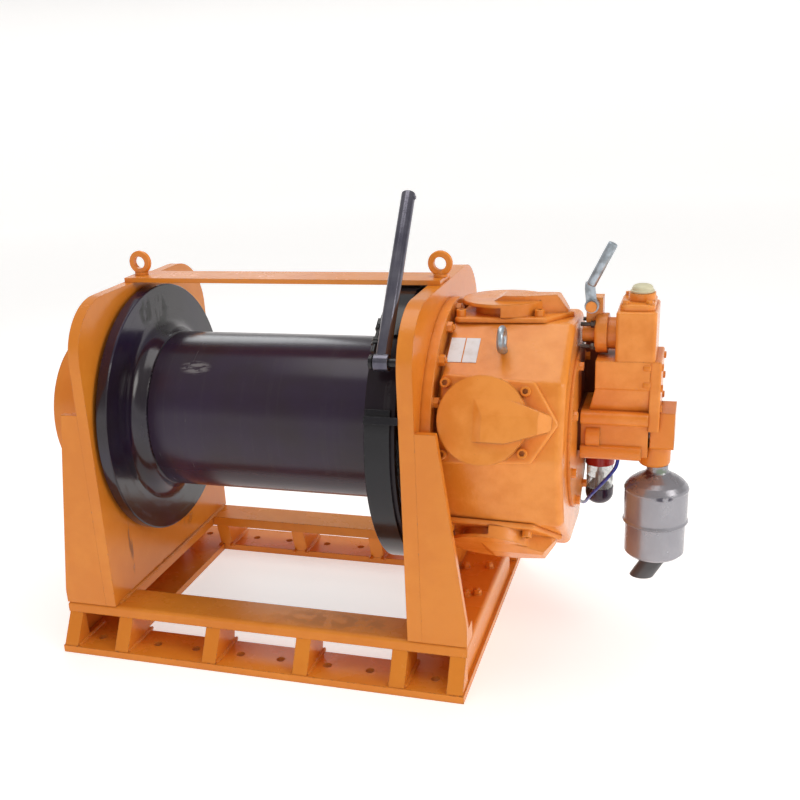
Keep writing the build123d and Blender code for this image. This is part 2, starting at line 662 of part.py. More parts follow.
save("base_sole_frame", sole_frame())
save("base_deck_frame", deck_frame())
front_ribs = [rib(x) for x in RIB_PLACES]
save("base_front_ribs", Compound(front_ribs))
save("base_rear_ribs", Compound([mirror(r, about=Plane.XZ) for r in front_ribs]))
save("base_side_webs", Compound(side_webs()))

save("left_stand_plate", stand_plate(-1, LEFT_PLATE, BEARING_R))
save("right_stand_plate", stand_plate(1, RIGHT_PLATE, BEARING_R))
left_leg = leg_face(-1, LEFT_PLATE, LEFT_LEG_REACH, LEFT_FOOT_TOP)
right_leg = leg_face(1, RIGHT_PLATE, RIGHT_LEG_REACH, RIGHT_FOOT_TOP)
save("left_stand_legs", Compound(both_sides(left_leg)))
save("right_stand_legs", Compound(both_sides(right_leg)))
left_outer, right_outer = -STAND_INNER - LEFT_PLATE, STAND_INNER + RIGHT_PLATE
save("left_shaft_bearing", rod_x(left_outer, -STAND_INNER, BEARING_R)
     - rod_x(left_outer, -STAND_INNER, SHAFT_R + SHAFT_GAP))
save("right_shaft_bearing", rod_x(STAND_INNER, right_outer, BEARING_R)
     - rod_x(STAND_INNER, right_outer, SHAFT_R + SHAFT_GAP))
save("gearbox_housing", rod_x(GEARBOX_END_X, left_outer, GEARBOX_R))
save("gearbox_cover", rod_x(GEARBOX_END_X - GEARBOX_CAP_THICK, GEARBOX_END_X, GEARBOX_CAP_R))

save("drum_barrel", drum_barrel())
save("drum_flange", Compound(drum_flange()))
save("drum_brake_rim", brake_rim())
save("drum_shaft", rod_x(left_outer + 6, right_outer - 6, SHAFT_R))

save("brake_band", brake_band())
live, dead = BAND_GAP_START - LUG_ANGLE, BAND_GAP_END + LUG_ANGLE
save("brake_band_lugs", Compound([band_lug(live, LUG_X[1]), band_lug(dead, STAND_INNER)]))
save("brake_adjuster", band_adjuster(live))
save("brake_lever", brake_lever())
save("brake_pivot_pin", brake_pin())

save("tie_bar", block(TIE_BAR_X, (-TIE_BAR_WIDTH / 2, TIE_BAR_WIDTH / 2),
                      (STAND_TOP, STAND_TOP + TIE_BAR_THICK)))
save("left_lifting_eye", lifting_eye(EYE_X[0]))
save("right_lifting_eye", lifting_eye(EYE_X[1]))

save("motor_adapter_ring", rod_x(right_outer, ADAPTER_END_X, ADAPTER_R))
save("motor_neck", motor_neck())
save("motor_case", motor_case())
save("motor_end_cover", rod_x(CASE_END_X, END_COVER_END_X, END_COVER_R))
for number, angle in enumerate(head_angles(), start=1):
    save(f"cylinder_head_{number}", place_on_case(cylinder_head(), angle))
label_angle = HEAD_FIRST_ANGLE + 180 / CYLINDERS
save("motor_lifting_eye", place_on_case(motor_eye(), label_angle))
save("data_plate", Compound([place_on_case(p, label_angle) for p in data_plate()]))

save("valve_neck", valve_neck())
save("valve_manifold", valve_manifold())
save("valve_chest", valve_chest())
save("valve_head", valve_head())
save("valve_lid", valve_lid())
save("valve_spindle_housing", spindle_housing())
save("air_inlet", air_inlet())
save("valve_side_cover", side_cover())
save("exhaust_elbow", exhaust_elbow())
save("muffler_can", muffler_can())
save("muffler_tail", muffler_tail())
for name, shape in zip(("head", "collar", "bowl", "sump"), lubricator()):
    save(f"lubricator_{name}", shape)
hose, route = air_hose()
save("air_hose", hose)
save("hose_fittings", Compound([hose_fitting(HOSE_ROUTE[0], -(route % 0), 22),
                                hose_fitting(HOSE_ROUTE[-1], route % 1, 60)]))
save("throttle_bracket", throttle_bracket())
save("throttle_lever", throttle_lever())
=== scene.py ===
import logging
import math
from dataclasses import dataclass
from enum import Enum
from typing import Mapping, Sequence

import bmesh
import bpy
from mathutils import Euler, Matrix, Vector, noise


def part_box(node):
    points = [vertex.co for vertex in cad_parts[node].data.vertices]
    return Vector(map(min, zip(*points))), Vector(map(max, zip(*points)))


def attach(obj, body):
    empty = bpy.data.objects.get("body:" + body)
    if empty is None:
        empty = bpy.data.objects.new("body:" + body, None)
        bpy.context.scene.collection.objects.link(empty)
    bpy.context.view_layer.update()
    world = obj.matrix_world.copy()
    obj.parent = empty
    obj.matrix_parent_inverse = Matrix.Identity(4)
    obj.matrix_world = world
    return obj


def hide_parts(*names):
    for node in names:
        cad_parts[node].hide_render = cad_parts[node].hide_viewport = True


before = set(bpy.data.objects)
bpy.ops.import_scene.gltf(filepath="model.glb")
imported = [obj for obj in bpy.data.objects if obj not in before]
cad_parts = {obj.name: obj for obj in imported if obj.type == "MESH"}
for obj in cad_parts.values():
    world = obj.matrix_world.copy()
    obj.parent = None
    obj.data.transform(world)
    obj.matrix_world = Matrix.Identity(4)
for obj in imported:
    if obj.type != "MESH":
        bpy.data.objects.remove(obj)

LOG = logging.getLogger("mooring_winch")
Colour = tuple[float, float, float]
Point = tuple[float, float, float]


class Body(Enum):
    """The bodies of the winch that pieces ride on."""

    FRAME = "frame"
    DRUM = "drum"
    BRAKE_LEVER = "brake_lever"


class Slot(Enum):
    """The finishes that the winch is ordered in."""

    ORANGE = "orange_paint"
    DRUM = "drum_paint"
    BRAKE = "brake_black"
    ZINC = "zinc_steel"
    CLEAR = "clear_bowl"
    HOSE = "blue_hose"
    PLATE = "plate_white"


# --- Shader maths ---------------------------------------------------------------------------


class Socket:
    """An output of a shader tree that adds Math nodes when it is used in an expression."""

    def __init__(self, tree: "ShaderTree", out: bpy.types.NodeSocket) -> None:
        """Keeps the tree and the output."""
        self.tree = tree
        self.out = out

    def _math(self, operation: str, *values: "Socket | float") -> "Socket":
        """Adds one Math node over the values."""
        return self.tree.node("ShaderNodeMath", {"operation": operation}, dict(enumerate(values)))

    def __add__(self, other: "Socket | float") -> "Socket":
        """Adds."""
        return self._math("ADD", self, other)

    def __sub__(self, other: "Socket | float") -> "Socket":
        """Subtracts."""
        return self._math("SUBTRACT", self, other)

    def __rsub__(self, other: "Socket | float") -> "Socket":
        """Subtracts this from a number."""
        return self._math("SUBTRACT", other, self)

    def __mul__(self, other: "Socket | float") -> "Socket":
        """Multiplies."""
        return self._math("MULTIPLY", self, other)

    def __truediv__(self, other: "Socket | float") -> "Socket":
        """Divides."""
        return self._math("DIVIDE", self, other)

    def __pow__(self, other: "Socket | float") -> "Socket":
        """Raises to a power."""
        return self._math("POWER", self, other)

    __radd__ = __add__
    __rmul__ = __mul__

    def most(self, other: "Socket | float") -> "Socket":
        """The larger of two values."""
        return self._math("MAXIMUM", self, other)

    def least(self, other: "Socket | float") -> "Socket":
        """The smaller of two values."""
        return self._math("MINIMUM", self, other)


class ShaderTree:
    """A material's node tree, with the few patterns that the finishes share."""

    def __init__(self, name: str) -> None:
        """Starts a material of that name with a Principled shader."""
        self.material = bpy.data.materials.new(name)
        self.material.use_nodes = True
        self.nodes = self.material.node_tree.nodes
        self.links = self.material.node_tree.links
        self.nodes.clear()
        self.shader = self.nodes.new("ShaderNodeBsdfPrincipled")
        output = self.nodes.new("ShaderNodeOutputMaterial")
        self.links.new(self.shader.outputs[0], output.inputs[0])
        self.place = self.node("ShaderNodeTexCoord", {}, {}, "Object")
        self.facing = self.node("ShaderNodeNewGeometry", {}, {}, "Normal")

    def node(
        self,
        kind: str,
        settings: Mapping[str, object],
        values: Mapping[int | str, "Socket | float | Sequence[float]"],
        out: int | str = 0,
    ) -> Socket:
        """Adds a node.

        Args:
            kind: The node's type.
            settings: Its own settings, set before its sockets.
            values: A number, colour, vector or Socket for each named or numbered input.
            out: The output to return.

        Returns:
            The output as a Socket.
        """
        made = self.nodes.new(kind)
        for key, setting in settings.items():
            setattr(made, key, setting)
        for key, value in values.items():
            if isinstance(value, Socket):
                self.links.new(value.out, made.inputs[key])
            else:
                made.inputs[key].default_value = value
        return Socket(self, made.outputs[out])

    def vector(self, operation: str, *values: "Socket | Sequence[float]", out: int = 0) -> Socket:
        """Adds a Vector Math node."""
        return self.node("ShaderNodeVectorMath", {"operation": operation}, dict(enumerate(values)), out)

    def noise(
        self, scale: float, detail: float = 4.0, stretch: Point = (1.0, 1.0, 1.0), shift: float = 0.0
    ) -> Socket:
        """Cloudy noise over the object.

        Args:
            scale: Clouds to the metre.
            detail: How many finer layers it has.
            stretch: How much faster it changes along each axis.
            shift: Moves the pattern, so that two of them differ.

        Returns:
            A value around 0.5.
        """
        at = self.node(
            "ShaderNodeMapping",
            {},
            {"Vector": self.place, "Scale": stretch, "Location": (shift, shift, shift)},
        )
        return self.node(
            "ShaderNodeTexNoise", {}, {"Vector": at, "Scale": scale, "Detail": detail, "Roughness": 0.55}
        )

    def cells(self, scale: float) -> Socket:
        """Distance to the nearest of scattered points, as for pits and spatter."""
        return self.node("ShaderNodeTexVoronoi", {}, {"Vector": self.place, "Scale": scale})

    def step(self, value: Socket, low: float, high: float) -> Socket:
        """A smooth step from 0 at low to 1 at high."""
        return self.node(
            "ShaderNodeMapRange",
            {"interpolation_type": "SMOOTHSTEP"},
            {"Value": value, "From Min": low, "From Max": high},
        )

    def mix(self, share: "Socket | float", first: "Socket | Colour", second: "Socket | Colour") -> Socket:
        """Mixes two colours."""
        ends = [c if isinstance(c, Socket) else (*c, 1.0) for c in (first, second)]
        return self.node("ShaderNodeMix", {"data_type": "RGBA"}, {0: share, 6: ends[0], 7: ends[1]}, 2)

    def along(self, axis: int, of: Socket | None = None) -> Socket:
        """One part, 0 to 2, of the place or of another vector."""
        return self.node("ShaderNodeSeparateXYZ", {}, {0: of or self.place}, axis)

    def softened(self, radius: float) -> Socket:
        """The normal as it would be with the edges rounded to that radius."""
        return self.node("ShaderNodeBevel", {"samples": 4}, {"Radius": radius})

    def worn_edges(self, radius: float) -> Socket:
        """1 near an edge, falling to 0 that radius away."""
        turned = self.vector("DOT_PRODUCT", self.softened(radius), self.facing, out=1)
        return self.step(1.0 - turned, 0.02, 0.2)

    def corners(self, reach: float) -> Socket:
        """1 deep in a corner, falling to 0 that distance out of it."""
        open_sky = self.node("ShaderNodeAmbientOcclusion", {"samples": 4}, {"Distance": reach}, "AO")
        return self.step(1.0 - open_sky, 0.25, 0.85)

    def near(self, centre: Point, size: Point) -> Socket:
        """1 at a spot, falling to 0 at the edge of an oval of those half sizes."""
        away = self.vector("SUBTRACT", self.place, centre)
        ratio = self.vector("LENGTH", self.vector("DIVIDE", away, size), out=1)
        return 1.0 - self.step(ratio, 0.45, 1.0)

    def relief(self, height: Socket, depth: float, under: Socket | None = None) -> Socket:
        """A normal bent by a height that is worth depth metres where it is 1."""
        values = {"Height": height, "Distance": depth, "Strength": 1.0}
        if under is not None:
            values["Normal"] = under
        return self.node("ShaderNodeBump", {}, values)

    def finish(self, **sockets: "Socket | float | Colour") -> bpy.types.Material:
        """Sets the Principled shader's sockets, named with _ for a space, and returns the material."""
        for key, value in sockets.items():
            socket = self.shader.inputs[key.replace("_", " ")]
            if isinstance(value, Socket):
                self.links.new(value.out, socket)
            else:
                socket.default_value = (*value, 1.0) if isinstance(value, tuple) else value
        return self.material


# --- Finishes -------------------------------------------------------------------------------


@dataclass(frozen=True)
class Mark:
    """A local stain, scuff or scrape in a finish, or a painted highlight or painted shade.

    Attributes:
        centre: Where it is.
        size: Its half sizes.
        colour: The colour it paints.
        strength: How much of the colour shows.
        grain: How many breaks to the metre its edge has.
        stretch: How its breaks are drawn out along each axis.
    """

    centre: Point
    size: Point
    colour: Colour
    strength: float = 0.8
    grain: float = 60.0
    stretch: Point = (1.0, 1.0, 1.0)

    def mask(self, tree: ShaderTree) -> Socket:
        """How much of the mark shows at each place."""
        broken = tree.step(tree.noise(self.grain, 5.0, self.stretch), 0.42, 0.56)
        return tree.near(self.centre, self.size) * broken * self.strength


@dataclass(frozen=True)
class GlossPaint:
    """Sprayed gloss paint over plate or castings, chipped at its edges, with dirt and painted shade darkening
    its corners.

    Attributes:
        name: The material's name.
        colour: The paint.
        deep: Where it is thick or dull.
        pale: Where it is thin or dusty.
        grime_and_shade: Dark colour of the spatter specks and of the corners, where it is partly dirt and
            partly painted shade.
        bare: What a chip shows.
        roughness: How matt it is.
        level: How strongly it mirrors.
        grain: Lumps to the metre in the surface below.
        lumps: Their height in metres.
        waves: Height of the long waves of rolled or welded plate, in metres.
        chips: Share of the edges that is chipped.
        rounding: Radius that brushed-on paint gives an edge, in metres.
        metal: Share of metal flake in it.
        marks: Local stains and scuffs, painted highlights and painted shade.
    """

    name: str
    colour: Colour
    deep: Colour
    pale: Colour
    grime_and_shade: Colour
    bare: Colour
    roughness: float = 0.22
    level: float = 0.42
    grain: float = 160.0
    lumps: float = 0.0003
    waves: float = 0.0008
    chips: float = 0.3
    rounding: float = 0.003
    metal: float = 0.0
    marks: tuple[Mark, ...] = ()

    def material(self) -> bpy.types.Material:
        """Builds the material."""
        tree = ShaderTree(self.name)
        broad = tree.noise(2.6, 3.0)
        patches = tree.noise(19.0, 4.0, shift=3.1)
        fine = tree.noise(self.grain, 5.0)
        runs = tree.step(tree.noise(1.0, 3.0, (34.0, 34.0, 2.6), 1.7), 0.58, 0.74)
        corner = tree.corners(0.024)
        edge = tree.worn_edges(self.rounding * 1.3)
        breaks = tree.noise(95.0, 5.0, shift=5.3)
        chipped = edge * tree.step(breaks, 0.72 - 0.4 * self.chips, 0.74 - 0.3 * self.chips)
        upward = tree.step(tree.along(2, tree.facing), 0.5, 1.0)
        dust = upward * tree.step(tree.noise(11.0, 5.0, shift=8.2), 0.48, 0.72)
        specks = 1.0 - tree.step(tree.cells(70.0), 0.05, 0.09)
        specks = specks * tree.step(patches, 0.5, 0.6)

        paint = tree.mix(tree.step(broad * 0.6 + patches * 0.4, 0.4, 0.62), self.deep, self.colour)
        paint = tree.mix(runs * 0.12, paint, self.deep)
        paint = tree.mix(dust * 0.1, paint, self.pale)
        # Corners darken by occlusion towards the dark corner colour, in patches: partly dirt, partly painted
        # shade.
        paint = tree.mix(corner * (0.1 + patches * 0.5), paint, self.grime_and_shade)
        paint = tree.mix(specks * 0.2, paint, self.grime_and_shade)
        dull = corner * 0.2 + dust * 0.1 + patches * 0.05
        for mark in self.marks:
            spot = mark.mask(tree)
            paint = tree.mix(spot, paint, mark.colour)
            dull = dull + spot * 0.25
        paint = tree.mix(chipped * 0.75, paint, self.bare)
        roughness = (self.roughness - 0.04 + dull + chipped * 0.3).least(0.9)

        normal = tree.relief(tree.noise(5.5, 2.0, shift=6.6), self.waves, tree.softened(self.rounding))
        normal = tree.relief(fine + runs * 0.4 - chipped * 0.6, self.lumps, normal)
        return tree.finish(
            Base_Color=paint,
            Roughness=roughness,
            Specular_IOR_Level=self.level,
            Metallic=self.metal,
            Normal=normal,
        )


@dataclass(frozen=True)
class TurnedPaint:
    """Thick gloss paint on a turned part, with rubbed bands round its axis.

    Attributes:
        name: The material's name.
        colour: The paint.
        tint: What its sheen leans to in places.
        rubbed: Where the rope or the band has rubbed it.
        axis_z: Height of the turning axis.
        roughness: How matt it is.
        level: How strongly it mirrors.
        bands: How strongly the rubbed bands show.
        marks: Local stains and scuffs.
    """

    name: str
    colour: Colour
    tint: Colour
    rubbed: Colour
    axis_z: float
    roughness: float = 0.17
    level: float = 0.4
    bands: float = 0.18
    marks: tuple[Mark, ...] = ()

    def material(self) -> bpy.types.Material:
        """Builds the material."""
        tree = ShaderTree(self.name)
        x, y, z = (tree.along(i) for i in range(3))
        height = z - self.axis_z
        radius = (y * y + height * height) ** 0.5
        ring = tree.node("ShaderNodeCombineXYZ", {}, {0: x * 55.0, 1: radius * 55.0, 2: 0.0})
        wound = tree.node("ShaderNodeTexNoise", {}, {"Vector": ring, "Scale": 1.0, "Detail": 4.0})
        broad = tree.noise(3.2, 3.0)
        patches = tree.noise(24.0, 5.0, shift=2.4)
        fine = tree.noise(210.0, 4.0)
        edge = tree.worn_edges(0.003)
        chipped = edge * tree.step(tree.noise(80.0, 5.0, shift=4.4), 0.55, 0.6)
        rub = tree.step(wound, 0.52, 0.68) * tree.step(patches, 0.4, 0.6) * self.bands

        paint = tree.mix(tree.step(broad, 0.38, 0.62), self.colour, self.tint)
        paint = tree.mix(rub, paint, self.rubbed)
        dull = rub * 0.35 + patches * 0.08
        for mark in self.marks:
            spot = mark.mask(tree)
            paint = tree.mix(spot, paint, mark.colour)
            dull = dull + spot * 0.3
        paint = tree.mix(chipped * 0.6, paint, self.rubbed)
        normal = tree.relief(tree.noise(4.0, 2.0, shift=1.1), 0.0008, tree.softened(0.003))
        normal = tree.relief(fine * 0.6 + wound * 0.5, 0.00012, normal)
        return tree.finish(
            Base_Color=paint,
            Roughness=(self.roughness + dull).least(0.9),
            Specular_IOR_Level=self.level,
            Normal=normal,
        )


@dataclass(frozen=True)
class PlatedSteel:
    """Zinc-plated or bare steel with a dull bloom and darker handled patches.

    Attributes:
        name: The material's name.
        colour: The bright metal.
        dark: The bloom and oil in its hollows.
        roughness: How matt it is.
        metallic: Share that is bare metal.
    """

    name: str
    colour: Colour
    dark: Colour
    roughness: float = 0.34
    metallic: float = 0.9

    def material(self) -> bpy.types.Material:
        """Builds the material."""
        tree = ShaderTree(self.name)
        bloom = tree.step(tree.noise(55.0, 5.0), 0.4, 0.66)
        fine = tree.noise(420.0, 3.0, shift=2.0)
        corner = tree.corners(0.012)
        edge = tree.worn_edges(0.002)
        steel = tree.mix(bloom * 0.5, self.colour, self.dark)
        steel = tree.mix(corner * 0.8, steel, self.dark)
        normal = tree.relief(fine + bloom * 0.4, 0.00012, tree.softened(0.0015))
        return tree.finish(
            Base_Color=steel,
            Roughness=(self.roughness + bloom * 0.2 + corner * 0.2 - edge * 0.1).least(0.9),
            Metallic=(self.metallic - corner * 0.5).most(0.0),
            Normal=normal,
        )


@dataclass(frozen=True)
class MouldedPlastic:
    """Moulded plastic, from glossy and dark to clear, with fine scratches and dust.

    Attributes:
        name: The material's name.
        colour: The plastic.
        dust: What has settled on it.
        roughness: How matt it is.
        clear: Share of light that passes, the same all over.
        dusty: How much dust shows.
    """

    name: str
    colour: Colour
    dust: Colour
    roughness: float = 0.15
    clear: float = 0.0
    dusty: float = 0.3

    def material(self) -> bpy.types.Material:
        """Builds the material."""
        tree = ShaderTree(self.name)
        film = tree.step(tree.noise(38.0, 5.0), 0.45, 0.7)
        scratches = tree.step(tree.noise(1.0, 4.0, (900.0, 900.0, 90.0)), 0.6, 0.72)
        colour = tree.mix(film * self.dusty, self.colour, self.dust)
        normal = tree.relief(scratches + film * 0.5, 0.00006, tree.softened(0.001))
        return tree.finish(
            Base_Color=colour,
            Roughness=(self.roughness + film * 0.15 + scratches * 0.08).least(0.9),
            Transmission_Weight=self.clear,
            IOR=1.49,
            Normal=normal,
        )


class Finishes:
    """Every finish on the winch, each made once."""

    ORANGE: Colour = (0.80, 0.262, 0.028)
    ORANGE_DEEP: Colour = (0.75, 0.228, 0.022)
    ORANGE_PALE: Colour = (0.84, 0.36, 0.10)
    # Dark brown of spatter and corner dirt, also used as painted shade in corners.
    GRIME_AND_SHADE: Colour = (0.09, 0.03, 0.012)
    PRIMER: Colour = (0.16, 0.06, 0.03)
    CHALK: Colour = (0.42, 0.4, 0.4)
    SCUFF: Colour = (0.002, 0.0015, 0.002)

    def __init__(self) -> None:
        """Builds the materials."""
        orange = {
            "colour": self.ORANGE,
            "deep": self.ORANGE_DEEP,
            "pale": self.ORANGE_PALE,
            "grime_and_shade": self.GRIME_AND_SHADE,
            "bare": self.PRIMER,
        }
        # Pale pink for painted highlights.
        painted_highlight = (0.9, 0.62, 0.45)
        # Dark brown for darker patches, one of them painted shade.
        dark_brown_patch = (0.05, 0.02, 0.012)
        self.plate = GlossPaint(
            "orange_paint_on_plate", **orange, marks=(
                # Darker patches low on the left stand's inner face, just below the drum flange.
                Mark((-0.406, -0.24, 0.25), (0.03, 0.012, 0.09), dark_brown_patch, 0.6, 90.0, (1.0, 1.0, 0.2)),
                Mark((-0.406, 0.1, 0.2), (0.03, 0.05, 0.04), dark_brown_patch, 0.3),
            ),
        ).material()
        self.skid = GlossPaint(
            "orange_paint_on_skid", **orange, chips=0.5, waves=0.001, roughness=0.28, level=0.3, marks=(
                # Painted highlight on the skid's front left corner.
                Mark((-0.5, -0.4, 0.06), (0.03, 0.02, 0.03), painted_highlight, 0.4, 40.0),
                # Painted shade: a darker strip along the skid's front top, under the drum.
                Mark((0.2, -0.3, 0.127), (0.2, 0.05, 0.02), dark_brown_patch, 0.25, 30.0),
            ),
        ).material()
        # The castings take a paler orange than the plate: painted light, for the brighter light on the motor.
        cast = {**orange, "colour": (0.88, 0.315, 0.055), "pale": (0.90, 0.43, 0.15)}
        self.casting = GlossPaint(
            "orange_paint_on_castings", **cast, grain=120.0, lumps=0.0006, waves=0.0012, rounding=0.006,
            roughness=0.22, chips=0.15,
        ).material()
        # A darkened copy of the orange paint: painted shade for the valve neck behind the valve.
        shaded = {
            **orange,
            "colour": (0.30, 0.075, 0.02),
            "deep": (0.14, 0.035, 0.014),
            "pale": (0.4, 0.14, 0.04),
        }
        self.shaded = GlossPaint(
            "orange_darkened_as_shade_behind_valve", **shaded, level=0.12, roughness=0.5, rounding=0.004,
        ).material()
        # Dark brown for painted shade on the end cover.
        painted_shade_brown = (0.16, 0.04, 0.015)
        self.cover = GlossPaint(
            "orange_paint_on_end_cover", **cast, grain=120.0, lumps=0.0006, rounding=0.006, roughness=0.3,
            marks=(
                # Painted shade: where the valve shades the end cover's face.
                Mark((0.774, 0.07, 0.62), (0.05, 0.2, 0.2), painted_shade_brown, 1.0, 5.0, (1.0, 1.0, 0.3)),
                Mark((0.774, 0.05, 0.70), (0.05, 0.15, 0.14), painted_shade_brown, 1.0, 9.0, (1.0, 2.0, 0.5)),
            ),
        ).material()
        self.housing = GlossPaint(
            "orange_paint_on_gearbox", **orange, grain=140.0, lumps=0.0005, rounding=0.006, marks=(
                # Painted highlights: pale streaks on the gearbox housing's front.
                Mark((-0.52, -0.17, 0.62), (0.06, 0.06, 0.006), painted_highlight, 0.7, 70.0, (0.3, 1.0, 1.0)),
                Mark((-0.5, -0.15, 0.68), (0.05, 0.06, 0.02), painted_highlight, 0.5, 60.0),
            ),
        ).material()
        self.tie = GlossPaint(
            "orange_paint_on_tie_bar", **orange, rounding=0.002, waves=0.0018, chips=0.5,
        ).material()
        self.weld = GlossPaint(
            "orange_paint_on_welds", **orange, grain=260.0, lumps=0.0014, rounding=0.002, chips=0.1,
        ).material()
        self.screw = GlossPaint(
            "orange_paint_on_screws", **orange, grain=300.0, lumps=0.0002, rounding=0.0015, chips=0.6,
        ).material()
        axis = 0.58
        self.drum = TurnedPaint(
            "black_paint_on_drum", (0.030, 0.017, 0.027), (0.032, 0.017, 0.042), (0.055, 0.045, 0.05), axis,
            marks=(
                Mark((-0.2, -0.14, 0.74), (0.05, 0.03, 0.02), self.CHALK, 0.35, 110.0, (0.3, 1.0, 1.0)),
            ),
        ).material()
        ragged = (1.0, 1.6, 0.5)
        self.flange = TurnedPaint(
            "black_paint_on_flange", (0.015, 0.009, 0.015), (0.017, 0.010, 0.032), (0.03, 0.022, 0.03), axis,
            level=0.6, bands=0.3, roughness=0.11, marks=(
                Mark((-0.365, -0.07, 0.87), (0.04, 0.05, 0.05), self.SCUFF, 1.0, 42.0, ragged),
                Mark((-0.365, 0.01, 0.855), (0.04, 0.05, 0.06), self.SCUFF, 1.0, 42.0, ragged),
                Mark((-0.365, -0.02, 0.80), (0.04, 0.03, 0.04), self.SCUFF, 1.0, 55.0, ragged),
            ),
        ).material()
        self.rim = TurnedPaint(
            "black_paint_on_brake_rim", (0.015, 0.009, 0.012), (0.018, 0.011, 0.018), (0.05, 0.045, 0.05),
            axis,
            level=0.25, bands=0.4, roughness=0.2,
        ).material()
        black = {
            "colour": (0.011, 0.010, 0.013),
            "deep": (0.007, 0.006, 0.009),
            "pale": (0.06, 0.055, 0.06),
            "grime_and_shade": (0.02, 0.014, 0.01),
            "bare": (0.09, 0.085, 0.085),
        }
        self.brake = GlossPaint(
            "black_paint_on_brake", **black, rounding=0.002, roughness=0.18, chips=0.45, lumps=0.0002,
        ).material()
        self.lever = GlossPaint(
            "black_paint_on_lever", **{**black, "colour": (0.17, 0.165, 0.20), "deep": (0.08, 0.075, 0.11)},
            rounding=0.002, roughness=0.16, chips=0.4, lumps=0.0002, level=1.0, metal=0.75,
        ).material()
        self.silencer = GlossPaint(
            "silver_paint_on_silencer", (0.38, 0.375, 0.405), (0.32, 0.315, 0.345), (0.50, 0.49, 0.50),
            (0.07, 0.06, 0.055), (0.12, 0.09, 0.07), roughness=0.28, level=0.6, metal=0.6,
            grain=240.0, lumps=0.0003,
            waves=0.0015, rounding=0.003, marks=(
                # Painted shade of a small dent at the front of the shoulder.
                Mark(
                    (0.985, -0.074, 0.429), (0.03, 0.03, 0.008), (0.05, 0.045, 0.07), 0.9, 80.0,
                    (1.0, 1.0, 0.6),
                ),
                # Painted shadow at the left of the neck.
                Mark((0.94, -0.03, 0.474), (0.03, 0.03, 0.014), (0.10, 0.02, 0.02), 0.9, 60.0),
                # Painted reflection: a greenish tint on the neck.
                Mark((0.975, -0.03, 0.482), (0.02, 0.03, 0.012), (0.18, 0.24, 0.16), 0.8, 60.0),
            ),
        ).material()
        self.pipe_end = GlossPaint(
            "dark_paint_on_silencer_pipes", (0.10, 0.10, 0.105), (0.06, 0.058, 0.06), (0.2, 0.2, 0.2),
            (0.03, 0.02, 0.016), (0.2, 0.16, 0.13), roughness=0.35, grain=220.0, chips=0.5, rounding=0.002,
        ).material()
        self.zinc = PlatedSteel("zinc_on_fittings", (0.46, 0.52, 0.58), (0.16, 0.19, 0.2)).material()
        self.bright = PlatedSteel("worn_zinc_on_nuts", (0.6, 0.6, 0.58), (0.2, 0.17, 0.13), 0.3).material()
        self.thread = PlatedSteel("thread_in_ports", (0.5, 0.54, 0.47), (0.12, 0.13, 0.1), 0.28).material()
        self.oiled = PlatedSteel("oiled_steel_rods", (0.13, 0.11, 0.1), (0.03, 0.022, 0.018), 0.36).material()
        dust = (0.42, 0.38, 0.34)
        self.red = MouldedPlastic(
            "red_collar_plastic", (0.40, 0.018, 0.012), (0.5, 0.2, 0.16), 0.2
        ).material()
        self.clear = MouldedPlastic(
            "clear_bowl_plastic", (0.93, 0.95, 0.95), (0.9, 0.9, 0.88), 0.06, 0.9, 0.3
        ).material()
        self.dark = MouldedPlastic(
            "dark_sump_plastic", (0.028, 0.012, 0.035), dust, 0.14, 0.0, 0.08
        ).material()
        self.cap = MouldedPlastic("cap_plastic", (0.66, 0.62, 0.42), dust, 0.35, 0.0, 0.3).material()
        self.hose = MouldedPlastic("blue_hose_plastic", (0.012, 0.035, 0.36), dust, 0.25, 0.0, 0.1).material()
        self.blank = MouldedPlastic(
            "blank_plate_plastic", (0.78, 0.79, 0.82), (0.5, 0.44, 0.38), 0.4
        ).material()


# --- Shaping --------------------------------------------------------------------------------


def seat(at: Vector, out: Vector, turn: float = 0.0) -> Matrix:
    """Where a small part sits.

    Args:
        at: The foot of the part.
        out: The direction that its own Z points to.
        turn: Its turn about that direction, in degrees.

    Returns:
        The matrix from the part's own frame.
    """
    aim = out.normalized().to_track_quat("Z", "Y").to_matrix().to_4x4()
    return Matrix.Translation(at) @ aim @ Matrix.Rotation(math.radians(turn), 4, "Z")


def turned(outline: Sequence[tuple[float, float]], steps: int = 32) -> bmesh.types.BMesh:
    """Turns an outline about Z.

    Args:
        outline: Radius and height of each corner, from one end to the other.
        steps: Sides of the turned shape.

    Returns:
        The turned mesh.
    """
    part = bmesh.new()
    verts = [part.verts.new((radius, 0.0, height)) for radius, height in outline]
    edges = [part.edges.new(pair) for pair in zip(verts, verts[1:])]
    bmesh.ops.spin(
        part, geom=verts + edges, cent=(0, 0, 0), axis=(0, 0, 1), angle=math.tau, steps=steps, use_merge=True
    )
    bmesh.ops.remove_doubles(part, verts=part.verts, dist=1e-6)
    bmesh.ops.recalc_face_normals(part, faces=part.faces)
    return part


